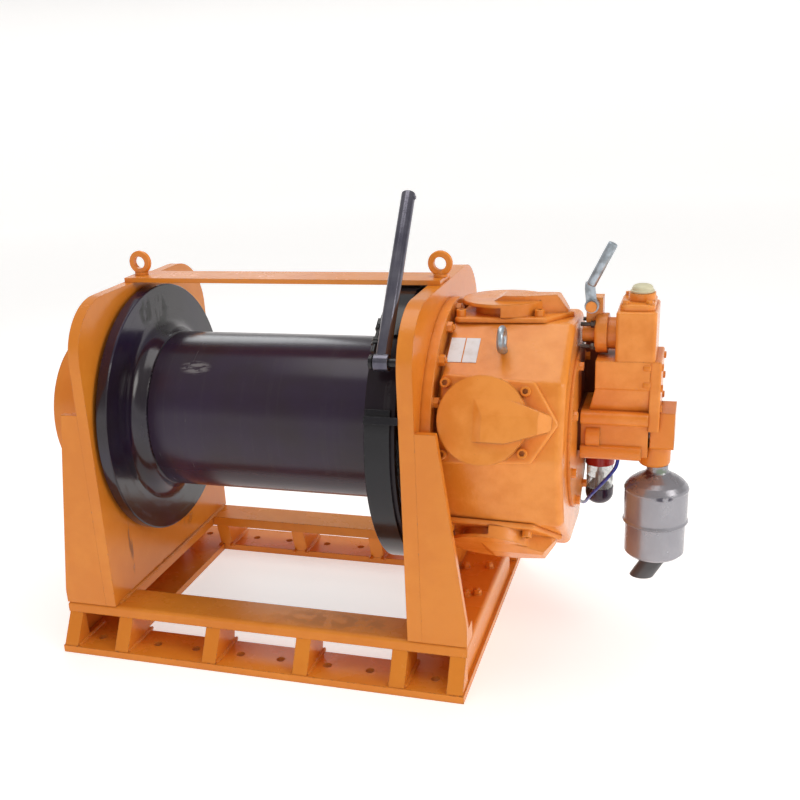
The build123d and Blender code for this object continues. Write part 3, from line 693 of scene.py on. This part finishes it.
class Form:
    """A mesh made up of shaped parts, then made one piece of the winch."""

    def __init__(self) -> None:
        """Starts an empty mesh."""
        self.mesh = bmesh.new()

    def join(self, part: bmesh.types.BMesh, at: Matrix) -> None:
        """Moves a part from its own frame to where it belongs and takes it in."""
        bmesh.ops.transform(part, matrix=at, verts=part.verts)
        data = bpy.data.meshes.new("part")
        part.to_mesh(data)
        part.free()
        self.mesh.from_mesh(data)
        bpy.data.meshes.remove(data)

    def lathe(self, outline: Sequence[tuple[float, float]], at: Matrix, steps: int = 32) -> None:
        """Turns an outline about the part's own Z and takes it in."""
        self.join(turned(outline, steps), at)

    def prism(self, sides: int, radius: float, height: float, at: Matrix, edge: float) -> None:
        """A bar with flat sides and a chamfered top.

        Args:
            sides: Number of its sides.
            radius: Distance from its middle to a corner.
            height: Its height.
            at: Where it sits.
            edge: The chamfer's width.
        """
        part = bmesh.new()
        bmesh.ops.create_cone(
            part, cap_ends=True, segments=sides, radius1=radius, radius2=radius, depth=height,
            matrix=Matrix.Translation((0, 0, height / 2)),
        )
        top = [e for e in part.edges if all(v.co.z > height * 0.9 for v in e.verts)]
        bmesh.ops.bevel(part, geom=top, offset=edge, segments=2, profile=0.5, affect="EDGES", material=-1)
        self.join(part, at)

    def block(self, size: Point, at: Matrix, edge: float) -> None:
        """A rounded block whose foot is centred on the place.

        Args:
            size: Its length, width and height.
            at: Where it sits.
            edge: The radius of its edges.
        """
        part = bmesh.new()
        shape = Matrix.Translation((0, 0, size[2] / 2)) @ Matrix.Diagonal((*size, 1.0))
        bmesh.ops.create_cube(part, size=1.0, matrix=shape)
        bmesh.ops.bevel(
            part, geom=list(part.edges), offset=edge, segments=2, profile=0.5, affect="EDGES", material=-1
        )
        self.join(part, at)

    def bead(self, start: Vector, end: Vector, radius: float, seed: float) -> None:
        """A weld bead: a lumpy bar laid in a corner.

        Args:
            start: One end of it.
            end: The other end.
            radius: Its radius.
            seed: Makes its lumps differ from the next bead's.
        """
        run = end - start
        part = bmesh.new()
        bmesh.ops.create_cone(
            part, cap_ends=True, segments=8, radius1=radius, radius2=radius, depth=run.length,
            matrix=Matrix.Translation((0, 0, run.length / 2)),
        )
        sides = [e for e in part.edges if abs(e.verts[0].co.z - e.verts[1].co.z) > radius]
        bmesh.ops.subdivide_edges(part, edges=sides, cuts=max(3, int(run.length / 0.009)))
        for vert in part.verts:
            lumpy = noise.noise(vert.co * 40.0 + Vector((seed, 0, 0)))
            ripple = 0.12 * math.sin(vert.co.z / 0.0045) + 0.3 * lumpy
            taper = min(1.0, 0.55 + min(vert.co.z, run.length - vert.co.z) / (2.0 * radius))
            vert.co.x *= (1.0 + ripple) * taper
            vert.co.y *= (1.0 + ripple) * taper
        self.join(part, seat(start, run))

    def piece(
        self, name: str, finish: bpy.types.Material, body: Body = Body.FRAME, smooth: float = 35.0
    ) -> bpy.types.Object:
        """Makes the mesh a piece that rides on a body.

        Args:
            name: The piece's name.
            finish: Its material.
            body: What it moves with.
            smooth: Edges sharper than this many degrees stay sharp.

        Returns:
            The new object.
        """
        bmesh.ops.triangulate(self.mesh, faces=[f for f in self.mesh.faces if len(f.verts) > 4])
        for face in self.mesh.faces:
            face.smooth = True
        for edge in self.mesh.edges:
            if len(edge.link_faces) == 2 and edge.calc_face_angle(0.0) > math.radians(smooth):
                edge.smooth = False
        data = bpy.data.meshes.new(name)
        self.mesh.to_mesh(data)
        self.mesh.free()
        made = bpy.data.objects.new(name, data)
        bpy.context.scene.collection.objects.link(made)
        data.materials.append(finish)
        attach(made, body.value)
        LOG.info("%s: %d faces", name, len(data.polygons))
        return made


def dress(finish: bpy.types.Material, *names: str) -> None:
    """Gives CAD nodes a finish.

    Args:
        finish: The material.
        names: The nodes.
    """
    for name in names:
        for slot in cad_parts[name].material_slots:
            slot.material = finish
        LOG.info("%s: %s", name, finish.name)


def middle(name: str) -> Vector:
    """The middle of a node's box."""
    low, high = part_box(name)
    return (low + high) / 2


# --- Fasteners ------------------------------------------------------------------------------


@dataclass
class HexNut:
    """A hexagon nut or bolt head on a washer, with the end of its stud.

    Attributes:
        corner: Radius to its corners.
        height: Its height.
        stud: How far the stud stands out of it.
        washer: The washer's thickness.
    """

    corner: float = 0.0135
    height: float = 0.012
    stud: float = 0.005
    washer: float = 0.003

    def add(self, form: Form, at: Vector, out: Vector, turn: float = 0.0) -> None:
        """Adds one.

        Args:
            form: The mesh that it is added to.
            at: The foot of the washer.
            out: The way it points.
            turn: Its turn about that, in degrees.
        """
        low = seat(at - out.normalized() * 0.001, out, turn)
        rim = self.corner * 1.12
        lift = self.washer + 0.001
        form.lathe([(0.0, 0.0), (rim, 0.0), (rim, lift * 0.7), (rim * 0.96, lift), (0.0, lift)], low, 20)
        form.prism(6, self.corner, self.height, low @ Matrix.Translation((0, 0, lift)), self.corner * 0.1)
        if self.stud > 0:
            core = self.corner * 0.52
            top = lift + self.height + self.stud
            form.lathe(
                [(core, lift), (core, top - core * 0.25), (core * 0.75, top), (0.0, top)], low, 14
            )


@dataclass
class CapScrew:
    """A socket-head cap screw.

    Attributes:
        radius: The head's radius.
        height: The head's height.
        socket: Radius to the corners of its hexagon socket.
    """

    radius: float = 0.012
    height: float = 0.016
    socket: float = 0.0068

    def add(self, form: Form, at: Vector, out: Vector, turn: float = 0.0) -> None:
        """Adds one.

        Args:
            form: The mesh that it is added to.
            at: The foot of the head.
            out: The way it points.
            turn: Its turn about that, in degrees.
        """
        lip = self.radius * 0.88
        top = self.height + 0.001
        part = turned([(0.0, 0.0), (self.radius, 0.0), (self.radius, top * 0.9), (lip, top)], 24)
        brim = [e for e in part.edges if len(e.link_faces) == 1]
        mouth = bmesh.ops.create_circle(
            part, cap_ends=False, segments=6, radius=self.socket, matrix=Matrix.Translation((0, 0, top))
        )["verts"]
        ring = list({e for v in mouth for e in v.link_edges})
        bmesh.ops.bridge_loops(part, edges=ring + brim)
        down = bmesh.ops.extrude_edge_only(part, edges=ring)["geom"]
        floor = [g for g in down if isinstance(g, bmesh.types.BMVert)]
        bmesh.ops.translate(part, verts=floor, vec=(0.0, 0.0, -self.height * 0.55))
        bmesh.ops.contextual_create(part, geom=floor)
        bmesh.ops.recalc_face_normals(part, faces=part.faces)
        form.join(part, seat(at - out.normalized() * 0.001, out, turn))


# --- Sub-assemblies -------------------------------------------------------------------------


@dataclass
class Studio:
    """The camera, the soft lights and the pale floor.

    Attributes:
        eye: Where the camera stands.
        yaw: Its turn to the left of +Y, in degrees.
        pitch: How far it looks down, in degrees.
        roll: Its tilt about its own axis, in degrees.
        lens: Focal length in millimetres.
        shift: The lens shift across and up.
        sky: Strength of the even light from above.
        floor_flat: Radius of the floor's flat part.
        floor_curve: Radius of the bend from the floor up into the backdrop.
        wall_top: Height of the backdrop.
        floor_glow: How much light the floor gives off.
    """

    eye: Point = (1.0557, -2.5248, 1.4690)
    yaw: float = 19.06
    pitch: float = 20.51
    roll: float = -3.39
    lens: float = 47.52
    shift: tuple[float, float] = (0.0527, 0.068)
    sky: float = 0.5
    floor_flat: float = 9.0
    floor_curve: float = 3.0
    wall_top: float = 10.0
    floor_glow: float = 0.53

    def camera(self) -> None:
        """Makes the camera and sets it as the scene's."""
        data = bpy.data.cameras.new("studio_camera")
        data.lens = self.lens
        data.sensor_width = 36.0
        data.shift_x, data.shift_y = self.shift
        data.clip_end = 60.0
        made = bpy.data.objects.new("studio_camera", data)
        bpy.context.scene.collection.objects.link(made)
        turn = Euler((math.radians(90.0 - self.pitch), 0.0, math.radians(self.yaw))).to_matrix()
        turn = turn @ Matrix.Rotation(math.radians(self.roll), 3, "Z")
        made.matrix_world = Matrix.Translation(self.eye) @ turn.to_4x4()
        bpy.context.scene.camera = made

    def light(self, name: str, at: Point, aim: Point, size: float, power: float, colour: Colour) -> None:
        """Adds a soft box.

        Args:
            name: The light's name.
            at: Where it stands.
            aim: What it points at.
            size: The side of its square.
            power: Its power in watts.
            colour: Its colour.
        """
        data = bpy.data.lights.new(name, "AREA")
        data.size = size
        data.energy = power
        data.color = colour
        made = bpy.data.objects.new(name, data)
        bpy.context.scene.collection.objects.link(made)
        made.location = at
        made.rotation_euler = (Vector(aim) - Vector(at)).to_track_quat("-Z", "Y").to_euler()

    def build(self) -> None:
        """Makes the floor, the lights and the pale surround."""
        scene = bpy.context.scene
        scene.view_settings.view_transform = "Standard"
        world = bpy.data.worlds.new("studio_surround")
        scene.world = world
        world.use_nodes = True
        back = world.node_tree.nodes["Background"]
        back.inputs["Color"].default_value = (1.0, 0.985, 0.97, 1.0)
        back.inputs["Strength"].default_value = self.sky
        self.light("overhead_box", (0.2, 0.2, 3.6), (0.2, 0.0, 0.5), 2.4, 36.0, (1.0, 0.98, 0.95))
        self.light("right_box", (3.2, -0.9, 2.2), (0.3, 0.0, 0.6), 1.4, 26.0, (1.0, 0.97, 0.93))
        self.light("back_box", (-1.6, 2.8, 2.6), (0.0, 0.0, 0.6), 1.2, 14.0, (0.95, 0.98, 1.0))
        self.sweep()

    def sweep(self) -> None:
        """Makes the round floor, which curves up into a backdrop well away from the winch."""
        bend = [math.radians(90.0 * i / 12) for i in range(13)]
        flat, curve = self.floor_flat, self.floor_curve
        outline = [(0.0, 0.0), (flat / 3, 0.0)]
        outline += [(flat + curve * math.sin(a), curve - curve * math.cos(a)) for a in bend]
        shape = turned(outline + [(flat + curve, self.wall_top)], 96)
        for face in shape.faces:
            face.smooth = True
        data = bpy.data.meshes.new("studio_floor")
        shape.to_mesh(data)
        shape.free()
        floor = bpy.data.objects.new("studio_floor", data)
        bpy.context.scene.collection.objects.link(floor)
        tree = ShaderTree("pale_floor")
        cloud = tree.noise(0.8, 3.0)
        high = tree.step(tree.along(2), 1.4, 4.5)
        pale = tree.mix(cloud, (0.79, 0.785, 0.775), (0.82, 0.815, 0.81))
        data.materials.append(tree.finish(
            Base_Color=tree.mix(high, pale, (0.25, 0.25, 0.25)),
            Roughness=0.75 + cloud * 0.1,
            Emission_Color=tree.mix(high, (1.0, 0.99, 0.98), (0.45, 0.445, 0.44)),
            Emission_Strength=self.floor_glow,
        ))


@dataclass
class AirHose:
    """The thin blue air hose from the valve manifold round to the back of the motor.

    Attributes:
        route: The points that it hangs along.
        radius: Its radius.
        length: Its real length. Not used.
    """

    route: tuple[Point, ...] = (
        (0.868, -0.008, 0.510), (0.868, -0.008, 0.488), (0.850, 0.0, 0.456), (0.822, 0.018, 0.416),
        (0.792, 0.058, 0.368), (0.775, 0.124, 0.322), (0.752, 0.196, 0.296), (0.726, 0.262, 0.298),
        (0.714, 0.306, 0.336), (0.712, 0.322, 0.386), (0.702, 0.312, 0.430),
    )
    radius: float = 0.0045
    length: float = 0.565

    def build(self) -> bpy.types.Object:
        data = bpy.data.curves.new("air_hose_line", "CURVE")
        data.dimensions = "3D"
        spline = data.splines.new("NURBS")
        spline.points.add(len(self.route) - 1)
        for point, place in zip(spline.points, self.route):
            point.co = (*place, 1.0)
            point.radius = self.radius
        spline.order_u = 3
        spline.use_endpoint_u = True
        spline.resolution_u = 10
        data.bevel_depth = 1.0
        data.bevel_resolution = 4
        data.use_fill_caps = True
        made = bpy.data.objects.new("air_hose_line", data)
        bpy.context.scene.collection.objects.link(made)
        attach(made, Body.FRAME.value)
        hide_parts("air_hose")
        2 * self.radius
        LOG.info("air hose: %d points", len(self.route))
        return made


@dataclass
class Skid:
    """The welded base: sole plate, ribs and deck.

    Attributes:
        bead: Radius of its weld beads.
        nut_places: Where nuts stand on the deck.
    """

    bead: float = 0.0065
    nut_places: tuple[tuple[float, float], ...] = (
        (0.461, 0.063), (0.524, 0.076), (0.523, -0.083), (0.496, -0.095), (-0.490, 0.07), (-0.490, -0.07),
    )

    def build(self, finishes: Finishes) -> None:
        """Builds the welds and nuts and dresses the base."""
        dress(finishes.skid, "base_sole_frame", "base_deck_frame", "base_front_ribs", "base_rear_ribs",
              "base_side_webs")
        low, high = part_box("base_deck_frame")
        nuts = Form()
        for i, (x, y) in enumerate(self.nut_places):
            HexNut(0.0115, 0.011, 0.004).add(nuts, Vector((x, y, high.z)), Vector((0, 0, 1)), 17.0 * i)
        nuts.piece("deck_nuts", finishes.screw)

        ribs_low, ribs_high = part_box("base_front_ribs")
        welds = Form()
        half = 0.02
        for i, x in enumerate((-0.532, -0.379, -0.122, 0.131, 0.386, 0.532)):
            for side in (-1, 1):
                if abs(x + side * half) > high.x - 0.004:
                    continue
                for z, front in ((ribs_low.z, ribs_low.y + 0.006), (ribs_high.z, low.y + 0.004)):
                    start = Vector((x + side * half, front, z))
                    back = Vector((x + side * half, ribs_high.y - 0.004, z))
                    welds.bead(start, back, self.bead, i * 3.1 + side)
                    mirror = Vector((1, -1, 1))
                    welds.bead(start * mirror, back * mirror, self.bead, i * 2.3 + side)
        welds.piece("base_welds", finishes.weld)


@dataclass
class Stands:
    """The two end stands, their feet, the tie bar, the lifting eyes and the gearbox.

    Attributes:
        bead: Radius of the weld beads.
        housing_bolts: Bolts round the gearbox cover.
        cover_step: How far the cover's middle stands out from its bolted rim.
    """

    bead: float = 0.006
    housing_bolts: int = 8
    cover_step: float = 0.0125

    def build(self, finishes: Finishes) -> None:
        """Builds the welds and bolts and dresses the stands."""
        dress(finishes.plate, "left_stand_plate", "left_stand_legs", "right_stand_plate", "right_stand_legs")
        dress(finishes.tie, "tie_bar", "left_lifting_eye", "right_lifting_eye")
        dress(finishes.housing, "gearbox_housing", "gearbox_cover")
        dress(finishes.oiled, "left_shaft_bearing", "right_shaft_bearing")
        self.welds(finishes)
        self.bolts(finishes)

    def welds(self, finishes: Finishes) -> None:
        """Lays the beads at the feet, along the legs, under the tie bar and round the eyes."""
        welds = Form()
        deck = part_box("base_deck_frame")[1].z
        for side, end in ((-1, "left"), (1, "right")):
            plate, legs = f"{end}_stand_plate", f"{end}_stand_legs"
            low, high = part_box(plate)
            inner = high.x if side < 0 else low.x
            outer = low.x if side < 0 else high.x
            reach_low, reach_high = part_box(legs)
            start, end_of = Vector((inner, low.y + 0.02, deck)), Vector((inner, high.y - 0.02, deck))
            welds.bead(start, end_of, self.bead, 4.2)
            for y in (low.y + 0.018, high.y - 0.018):
                foot, head = Vector((outer, y, deck + 0.02)), Vector((outer, y, reach_high.z - 0.02))
                welds.bead(foot, head, self.bead, y)
            tip = reach_low.x if side < 0 else reach_high.x
            for y in (low.y + 0.018, high.y - 0.018):
                welds.bead(Vector((outer, y, deck)), Vector((tip - side * 0.006, y, deck)), self.bead, 2 * y)
        low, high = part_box("tie_bar")
        for x in (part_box("left_stand_plate")[1].x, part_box("right_stand_plate")[0].x):
            welds.bead(Vector((x, low.y + 0.006, low.z)), Vector((x, high.y - 0.006, low.z)), 0.004, x)
        for name in ("left_lifting_eye", "right_lifting_eye"):
            eye = middle(name)
            for y in (-0.008, 0.008):
                welds.bead(
                    Vector((eye.x - 0.014, y, high.z)), Vector((eye.x + 0.014, y, high.z)), 0.004, y
                )
        welds.piece("stand_welds", finishes.weld)

    def bolts(self, finishes: Finishes) -> None:
        """Bolts the gearbox and its cover."""
        axis = middle("gearbox_cover")
        cover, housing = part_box("gearbox_cover"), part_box("gearbox_housing")
        bolts = Form()
        out = Vector((-1, 0, 0))
        radius = (cover[1].y - cover[0].y) / 2
        face = cover[1].x - cover[0].x - self.cover_step
        plate = Form()
        plate.lathe(
            [(0.0, 0.0), (radius, 0.0), (radius, face - 0.004), (radius - 0.004, face), (radius * 0.66, face),
             (radius * 0.63, face + self.cover_step * 0.75), (radius * 0.6, face + self.cover_step),
             (radius * 0.22, face + self.cover_step), (radius * 0.19, face + self.cover_step * 0.6),
             (0.0, face + self.cover_step * 0.6)],
            seat(Vector((cover[1].x, axis.y, axis.z)), out), 96,
        )
        shown = plate.piece("gearbox_stepped_cover", finishes.housing, smooth=30.0)
        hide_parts("gearbox_cover")
        ring = radius * 0.83
        for i in range(self.housing_bolts):
            angle = math.tau * (i + 0.5) / self.housing_bolts
            at = Vector((cover[1].x - face, axis.y + ring * math.cos(angle), axis.z + ring * math.sin(angle)))
            HexNut(0.0105, 0.009, 0.0).add(bolts, at, out, 25.0 * i)
        ring = (housing[1].y - housing[0].y) / 2 - 0.026
        for i in range(2 * self.housing_bolts):
            angle = math.tau * i / (2 * self.housing_bolts)
            at = Vector((housing[0].x, axis.y + ring * math.cos(angle), axis.z + ring * math.sin(angle)))
            CapScrew(0.009, 0.010, 0.005).add(bolts, at, out, 31.0 * i)
        bolts.piece("gearbox_bolts", finishes.screw)


@dataclass
class Drum:
    """The rope drum with its flange and brake rim."""

    def build(self, finishes: Finishes) -> None:
        """Dresses the drum."""
        dress(finishes.drum, "drum_barrel", "drum_shaft")
        dress(finishes.flange, "drum_flange")
        dress(finishes.rim, "drum_brake_rim")


@dataclass
class Brake:
    """The band brake and its hand lever.

    Attributes:
        lean: The lever's lean from upright towards the back, in degrees.
        tube: Its radius.
        reach: How far its end is from the pivot.
        adjuster_turn: Where the adjuster is round the drum, in degrees up from +Y.
        adjuster_radius: How far the adjuster is from the drum's axis.
    """

    lean: float = 39.4
    tube: float = 0.017
    reach: float = 0.4395
    adjuster_turn: float = 124.0
    adjuster_radius: float = 0.367

    def build(self, finishes: Finishes) -> None:
        """Builds the lever's end and small parts and dresses the brake."""
        dress(finishes.brake, "brake_band", "brake_band_lugs", "brake_adjuster", "brake_pivot_pin")
        dress(finishes.lever, "brake_lever")
        pivot = middle("brake_pivot_pin")
        lever_x = middle("brake_lever").x
        lean = math.radians(self.lean)
        along = Vector((0.0, math.sin(lean), math.cos(lean)))
        tip = Vector((lever_x, pivot.y, pivot.z)) + along * self.reach
        end = Form()
        plug = self.tube * 0.86
        end.lathe(
            [(0.0, -0.004), (plug, -0.004), (plug, 0.0006), (plug * 0.86, 0.0014), (0.0, 0.0016)],
            seat(tip - along * 0.001, along), 28,
        )
        across = Vector((1, 0, 0))
        end.block((0.012, 0.008, 0.004), seat(tip - along * 0.012 + across * self.tube * 0.9, across), 0.0012)
        end.piece("brake_lever_end", finishes.lever, Body.BRAKE_LEVER)
        self.locknuts(finishes)

    def locknuts(self, finishes: Finishes) -> None:
        """Runs two locknuts and a spring washer up the band's adjuster."""
        low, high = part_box("brake_adjuster")
        middle_x = (low.x + high.x) / 2
        turn = math.radians(self.adjuster_turn)
        along = Vector((0.0, -math.sin(turn), math.cos(turn)))
        spoke = Vector((0.0, math.cos(turn), math.sin(turn))) * self.adjuster_radius
        foot = Vector((middle_x, 0.0, middle("drum_barrel").z)) + spoke
        nuts = Form()
        for reach, height in ((0.050, 0.0075), (0.061, 0.0055)):
            place = seat(foot + along * reach, along, 400.0 * reach)
            nuts.prism(6, 0.0105, height, place, 0.001)
            nuts.lathe([(0.0, -0.0018), (0.0098, -0.0018), (0.0098, 0.0002), (0.0, 0.0002)], place, 18)
        nuts.piece("brake_locknuts", finishes.brake)


@dataclass
class Motor:
    """The radial air motor: ten-sided case, five heads, adapter ring and end cover.

    Attributes:
        heads: Number of cylinder heads.
        first: Angle of the first head above the front, in degrees.
        centre_x: Where the heads' middles are along the shaft.
        pad: Radius of the heads' bolting faces from the shaft.
        screw_places: Places of a head's screws along and across it.
        ring_nuts: Nuts round the adapter ring.
        cover_bolts: Bolts round the end cover.
    """

    heads: int = 5
    first: float = 20.0
    centre_x: float = 0.586
    pad: float = 0.292
    screw_places: tuple[tuple[float, float], ...] = (
        (0.094, 0.070), (0.094, -0.070), (-0.092, 0.083), (-0.092, -0.083),
    )
    ring_nuts: int = 18
    cover_bolts: int = 8

    def radial(self, angle: float) -> Vector:
        """The way out from the shaft at an angle above the front, in degrees."""
        return Vector((0.0, -math.cos(math.radians(angle)), math.sin(math.radians(angle))))

    def build(self, finishes: Finishes) -> None:
        """Builds the motor's fasteners and dresses its castings."""
        dress(finishes.cover, "motor_end_cover")
        dress(finishes.casting, "motor_adapter_ring", "motor_neck", "motor_case",
              *[f"cylinder_head_{i + 1}" for i in range(self.heads)])
        dress(finishes.zinc, "motor_lifting_eye")
        dress(finishes.blank, "data_plate")
        shaft = Vector((0.0, 0.0, middle("motor_adapter_ring").z))
        screws = Form()
        for i in range(self.heads):
            out = self.radial(self.first + 360.0 * i / self.heads)
            across = out.cross(Vector((1, 0, 0)))
            for j, (x, s) in enumerate(self.screw_places):
                at = shaft + Vector((self.centre_x + x, 0, 0)) + out * self.pad + across * s
                CapScrew().add(screws, at, out, 23.0 * i + 41.0 * j)
        screws.piece("head_screws", finishes.screw)

        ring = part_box("motor_adapter_ring")
        nuts = Form()
        reach = (ring[1].z - ring[0].z) / 2 - 0.017
        for i in range(self.ring_nuts):
            out = self.radial(360.0 * i / self.ring_nuts + 7.0)
            at = shaft + Vector((ring[1].x, 0, 0)) + out * reach
            HexNut(0.0135, 0.013, 0.005, 0.002).add(nuts, at, Vector((1, 0, 0)), 19.0 * i)
        nuts.piece("adapter_ring_nuts", finishes.screw)

        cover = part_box("motor_end_cover")
        bolts = Form()
        reach = (cover[1].z - cover[0].z) / 2 - 0.018
        for i in range(self.cover_bolts):
            out = self.radial(360.0 * i / self.cover_bolts + 27.0)
            at = shaft + Vector((cover[1].x, 0, 0)) + out * reach
            HexNut(0.0115, 0.010, 0.0, 0.002).add(bolts, at, Vector((1, 0, 0)), 14.0 * i)
        bolts.piece("end_cover_bolts", finishes.screw)


@dataclass
class ControlValve:
    """The throttle valve: manifold, chest, head, spindle housing, inlet and hand lever.

    Attributes:
        bolt: Corner radius of its bolts.
    """

    bolt: float = 0.0085

    def build(self, finishes: Finishes) -> None:
        """Builds the valve's fasteners and inlet and dresses its castings."""
        # The neck takes the darkened orange, painted shade.
        dress(finishes.shaded, "valve_neck")
        dress(finishes.casting, "valve_manifold", "valve_chest", "valve_head", "valve_lid",
              "valve_spindle_housing", "valve_side_cover", "exhaust_elbow", "air_inlet", "throttle_bracket")
        dress(finishes.zinc, "throttle_lever", "hose_fittings")
        self.bolts(finishes)
        self.inlet(finishes)
        self.studs(finishes)

    def bolts(self, finishes: Finishes) -> None:
        """Bolts the lid, the side cover and the front of the manifold."""
        nut = HexNut(self.bolt, 0.007, 0.0, 0.0015)
        bolts = Form()
        low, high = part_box("valve_lid")
        for x in (low.x + 0.013, high.x - 0.013):
            for y in (low.y + 0.013, high.y - 0.013):
                nut.add(bolts, Vector((x, y, high.z)), Vector((0, 0, 1)), 700.0 * x)
        low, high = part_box("valve_side_cover")
        low_head = CapScrew(0.0085, 0.0045, 0.0045)
        for y in (low.y + 0.014, high.y - 0.014):
            for z in (low.z + 0.056, (low.z + high.z) / 2 + 0.02, high.z - 0.016):
                low_head.add(bolts, Vector((high.x, y, z)), Vector((1, 0, 0)), 900.0 * z)
        for z in (high.z - 0.014, high.z - 0.055):
            at = Vector((low.x - 0.016, low.y + 0.001, z))
            bolts.lathe(
                [(0.0, 0.0), (0.0065, 0.0), (0.0085, 0.003), (0.0085, 0.015), (0.0065, 0.0175),
                 (0.0, 0.0175)],
                seat(at, Vector((1, 0, 0))), 20,
            )
        low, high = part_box("valve_manifold")
        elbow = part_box("exhaust_elbow")[0]
        gap = elbow.x - high.x
        gasket_foot = Matrix.Translation((high.x + gap / 2, 0.0, elbow.z + 0.0515))
        bolts.block((gap + 0.001, 0.104, 0.054), gasket_foot, 0.001)
        HexNut(0.013, 0.010, 0.0, 0.002).add(
            bolts, Vector((low.x + 0.046, low.y + 0.030, 0.579)), Vector((1, 0, 0)), 12.0
        )
        bolts.piece("valve_bolts", finishes.screw)

    def inlet(self, finishes: Finishes) -> None:
        """Threads the air inlet and closes it with its pale transport cap."""
        low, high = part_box("air_inlet")
        foot = Matrix.Translation(((low.x + high.x) / 2, (low.y + high.y) / 2, low.z))
        tall = high.z - low.z
        thread = Form()
        turns = 5
        rise = tall / turns
        outline = []
        for i in range(turns):
            outline += [(0.0199, i * rise), (0.0187, (i + 0.5) * rise)]
        outline += [(0.0199, tall), (0.0205, tall), (0.0205, 0.0), (0.0199, 0.0)]
        thread.lathe(outline, foot, 40)
        thread.piece("air_inlet_thread", finishes.thread, smooth=50.0)
        cap = Form()
        cap.lathe(
            [(0.0, tall - 0.004), (0.018, tall - 0.004), (0.018, tall + 0.0005), (0.0265, tall + 0.0005),
             (0.0275, tall + 0.002), (0.0275, tall + 0.005), (0.0245, tall + 0.0065), (0.0245, tall + 0.009),
             (0.0232, tall + 0.0135), (0.019, tall + 0.0172), (0.012, tall + 0.0192), (0.0, tall + 0.02)],
            foot, 40,
        )
        cap.piece("air_inlet_cap", finishes.cap)

    def studs(self, finishes: Finishes) -> None:
        """Sets the long studs between the motor and the spindle flange, with their nuts."""
        low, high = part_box("valve_spindle_housing")
        axis = (low + high) / 2
        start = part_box("motor_end_cover")[1].x
        run = low.x + 0.030 - start
        studs = Form()
        nut = HexNut(0.0085, 0.008, 0.0, 0.0015)
        for angle in (45.0, 135.0, 225.0, 315.0):
            out = Vector((0.0, math.cos(math.radians(angle)), math.sin(math.radians(angle)))) * 0.038
            foot = Vector((start, axis.y, axis.z)) + out
            studs.lathe(
                [(0.0, -0.001), (0.005, -0.001), (0.005, run * 0.5), (0.0044, run * 0.52),
                 (0.0044, run + 0.001), (0.0, run + 0.001)],
                seat(foot, Vector((1, 0, 0))), 14,
            )
            nut.add(studs, foot + Vector((run, 0, 0)), Vector((-1, 0, 0)), angle)
        studs.piece("spindle_studs", finishes.oiled)


@dataclass
class Exhaust:
    """The exhaust silencer below the elbow."""

    def build(self, finishes: Finishes) -> None:
        """Dresses the silencer."""
        dress(finishes.silencer, "muffler_can")
        dress(finishes.pipe_end, "muffler_tail")


@dataclass
class Lubricator:
    """The air-line lubricator with its clear bowl.

    Attributes:
        wall: Wall of the clear bowl.
    """

    wall: float = 0.0035

    def build(self, finishes: Finishes) -> None:
        """Builds the clear bowl and the drip tube inside it, and dresses the rest."""
        dress(finishes.red, "lubricator_collar", "lubricator_head")
        dress(finishes.dark, "lubricator_sump")
        low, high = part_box("lubricator_bowl")
        centre = (low + high) / 2
        radius = (high.x - low.x) / 2
        foot = Matrix.Translation((centre.x, centre.y, low.z))
        tall = high.z - low.z
        bowl = Form()
        inner = radius - self.wall
        bowl.lathe(
            [(radius - 0.0006, 0.0), (radius, 0.002), (radius, tall * 0.45), (radius - 0.0015, tall * 0.5),
             (radius, tall * 0.55), (radius, tall - 0.002), (radius - 0.0006, tall), (inner, tall),
             (inner, 0.0), (radius - 0.0006, 0.0)],
            foot, 48,
        )
        shown = bowl.piece("lubricator_clear_bowl", finishes.clear)
        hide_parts("lubricator_bowl")
        inside = Form()
        inside.lathe(
            [(0.0, 0.001), (0.011, 0.001), (0.011, tall * 0.55), (0.007, tall * 0.62), (0.007, tall - 0.001),
             (0.0, tall - 0.001)],
            foot, 24,
        )
        inside.piece("lubricator_drip_tube", finishes.bright)


def main() -> None:
    """Builds the studio, then every sub-assembly of the winch in order."""
    logging.basicConfig(level=logging.INFO, format="%(message)s")
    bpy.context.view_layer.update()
    studio = Studio()
    studio.camera()
    hose = AirHose().build()
    studio.build()
    finishes = Finishes()
    hose.data.materials.append(finishes.hose)
    for part in (Skid(), Stands(), Drum(), Brake(), Motor(), ControlValve(), Exhaust(), Lubricator()):
        LOG.info("-- %s", type(part).__name__)
        part.build(finishes)
    bpy.context.view_layer.update()


if __name__ == "__main__":
    main()
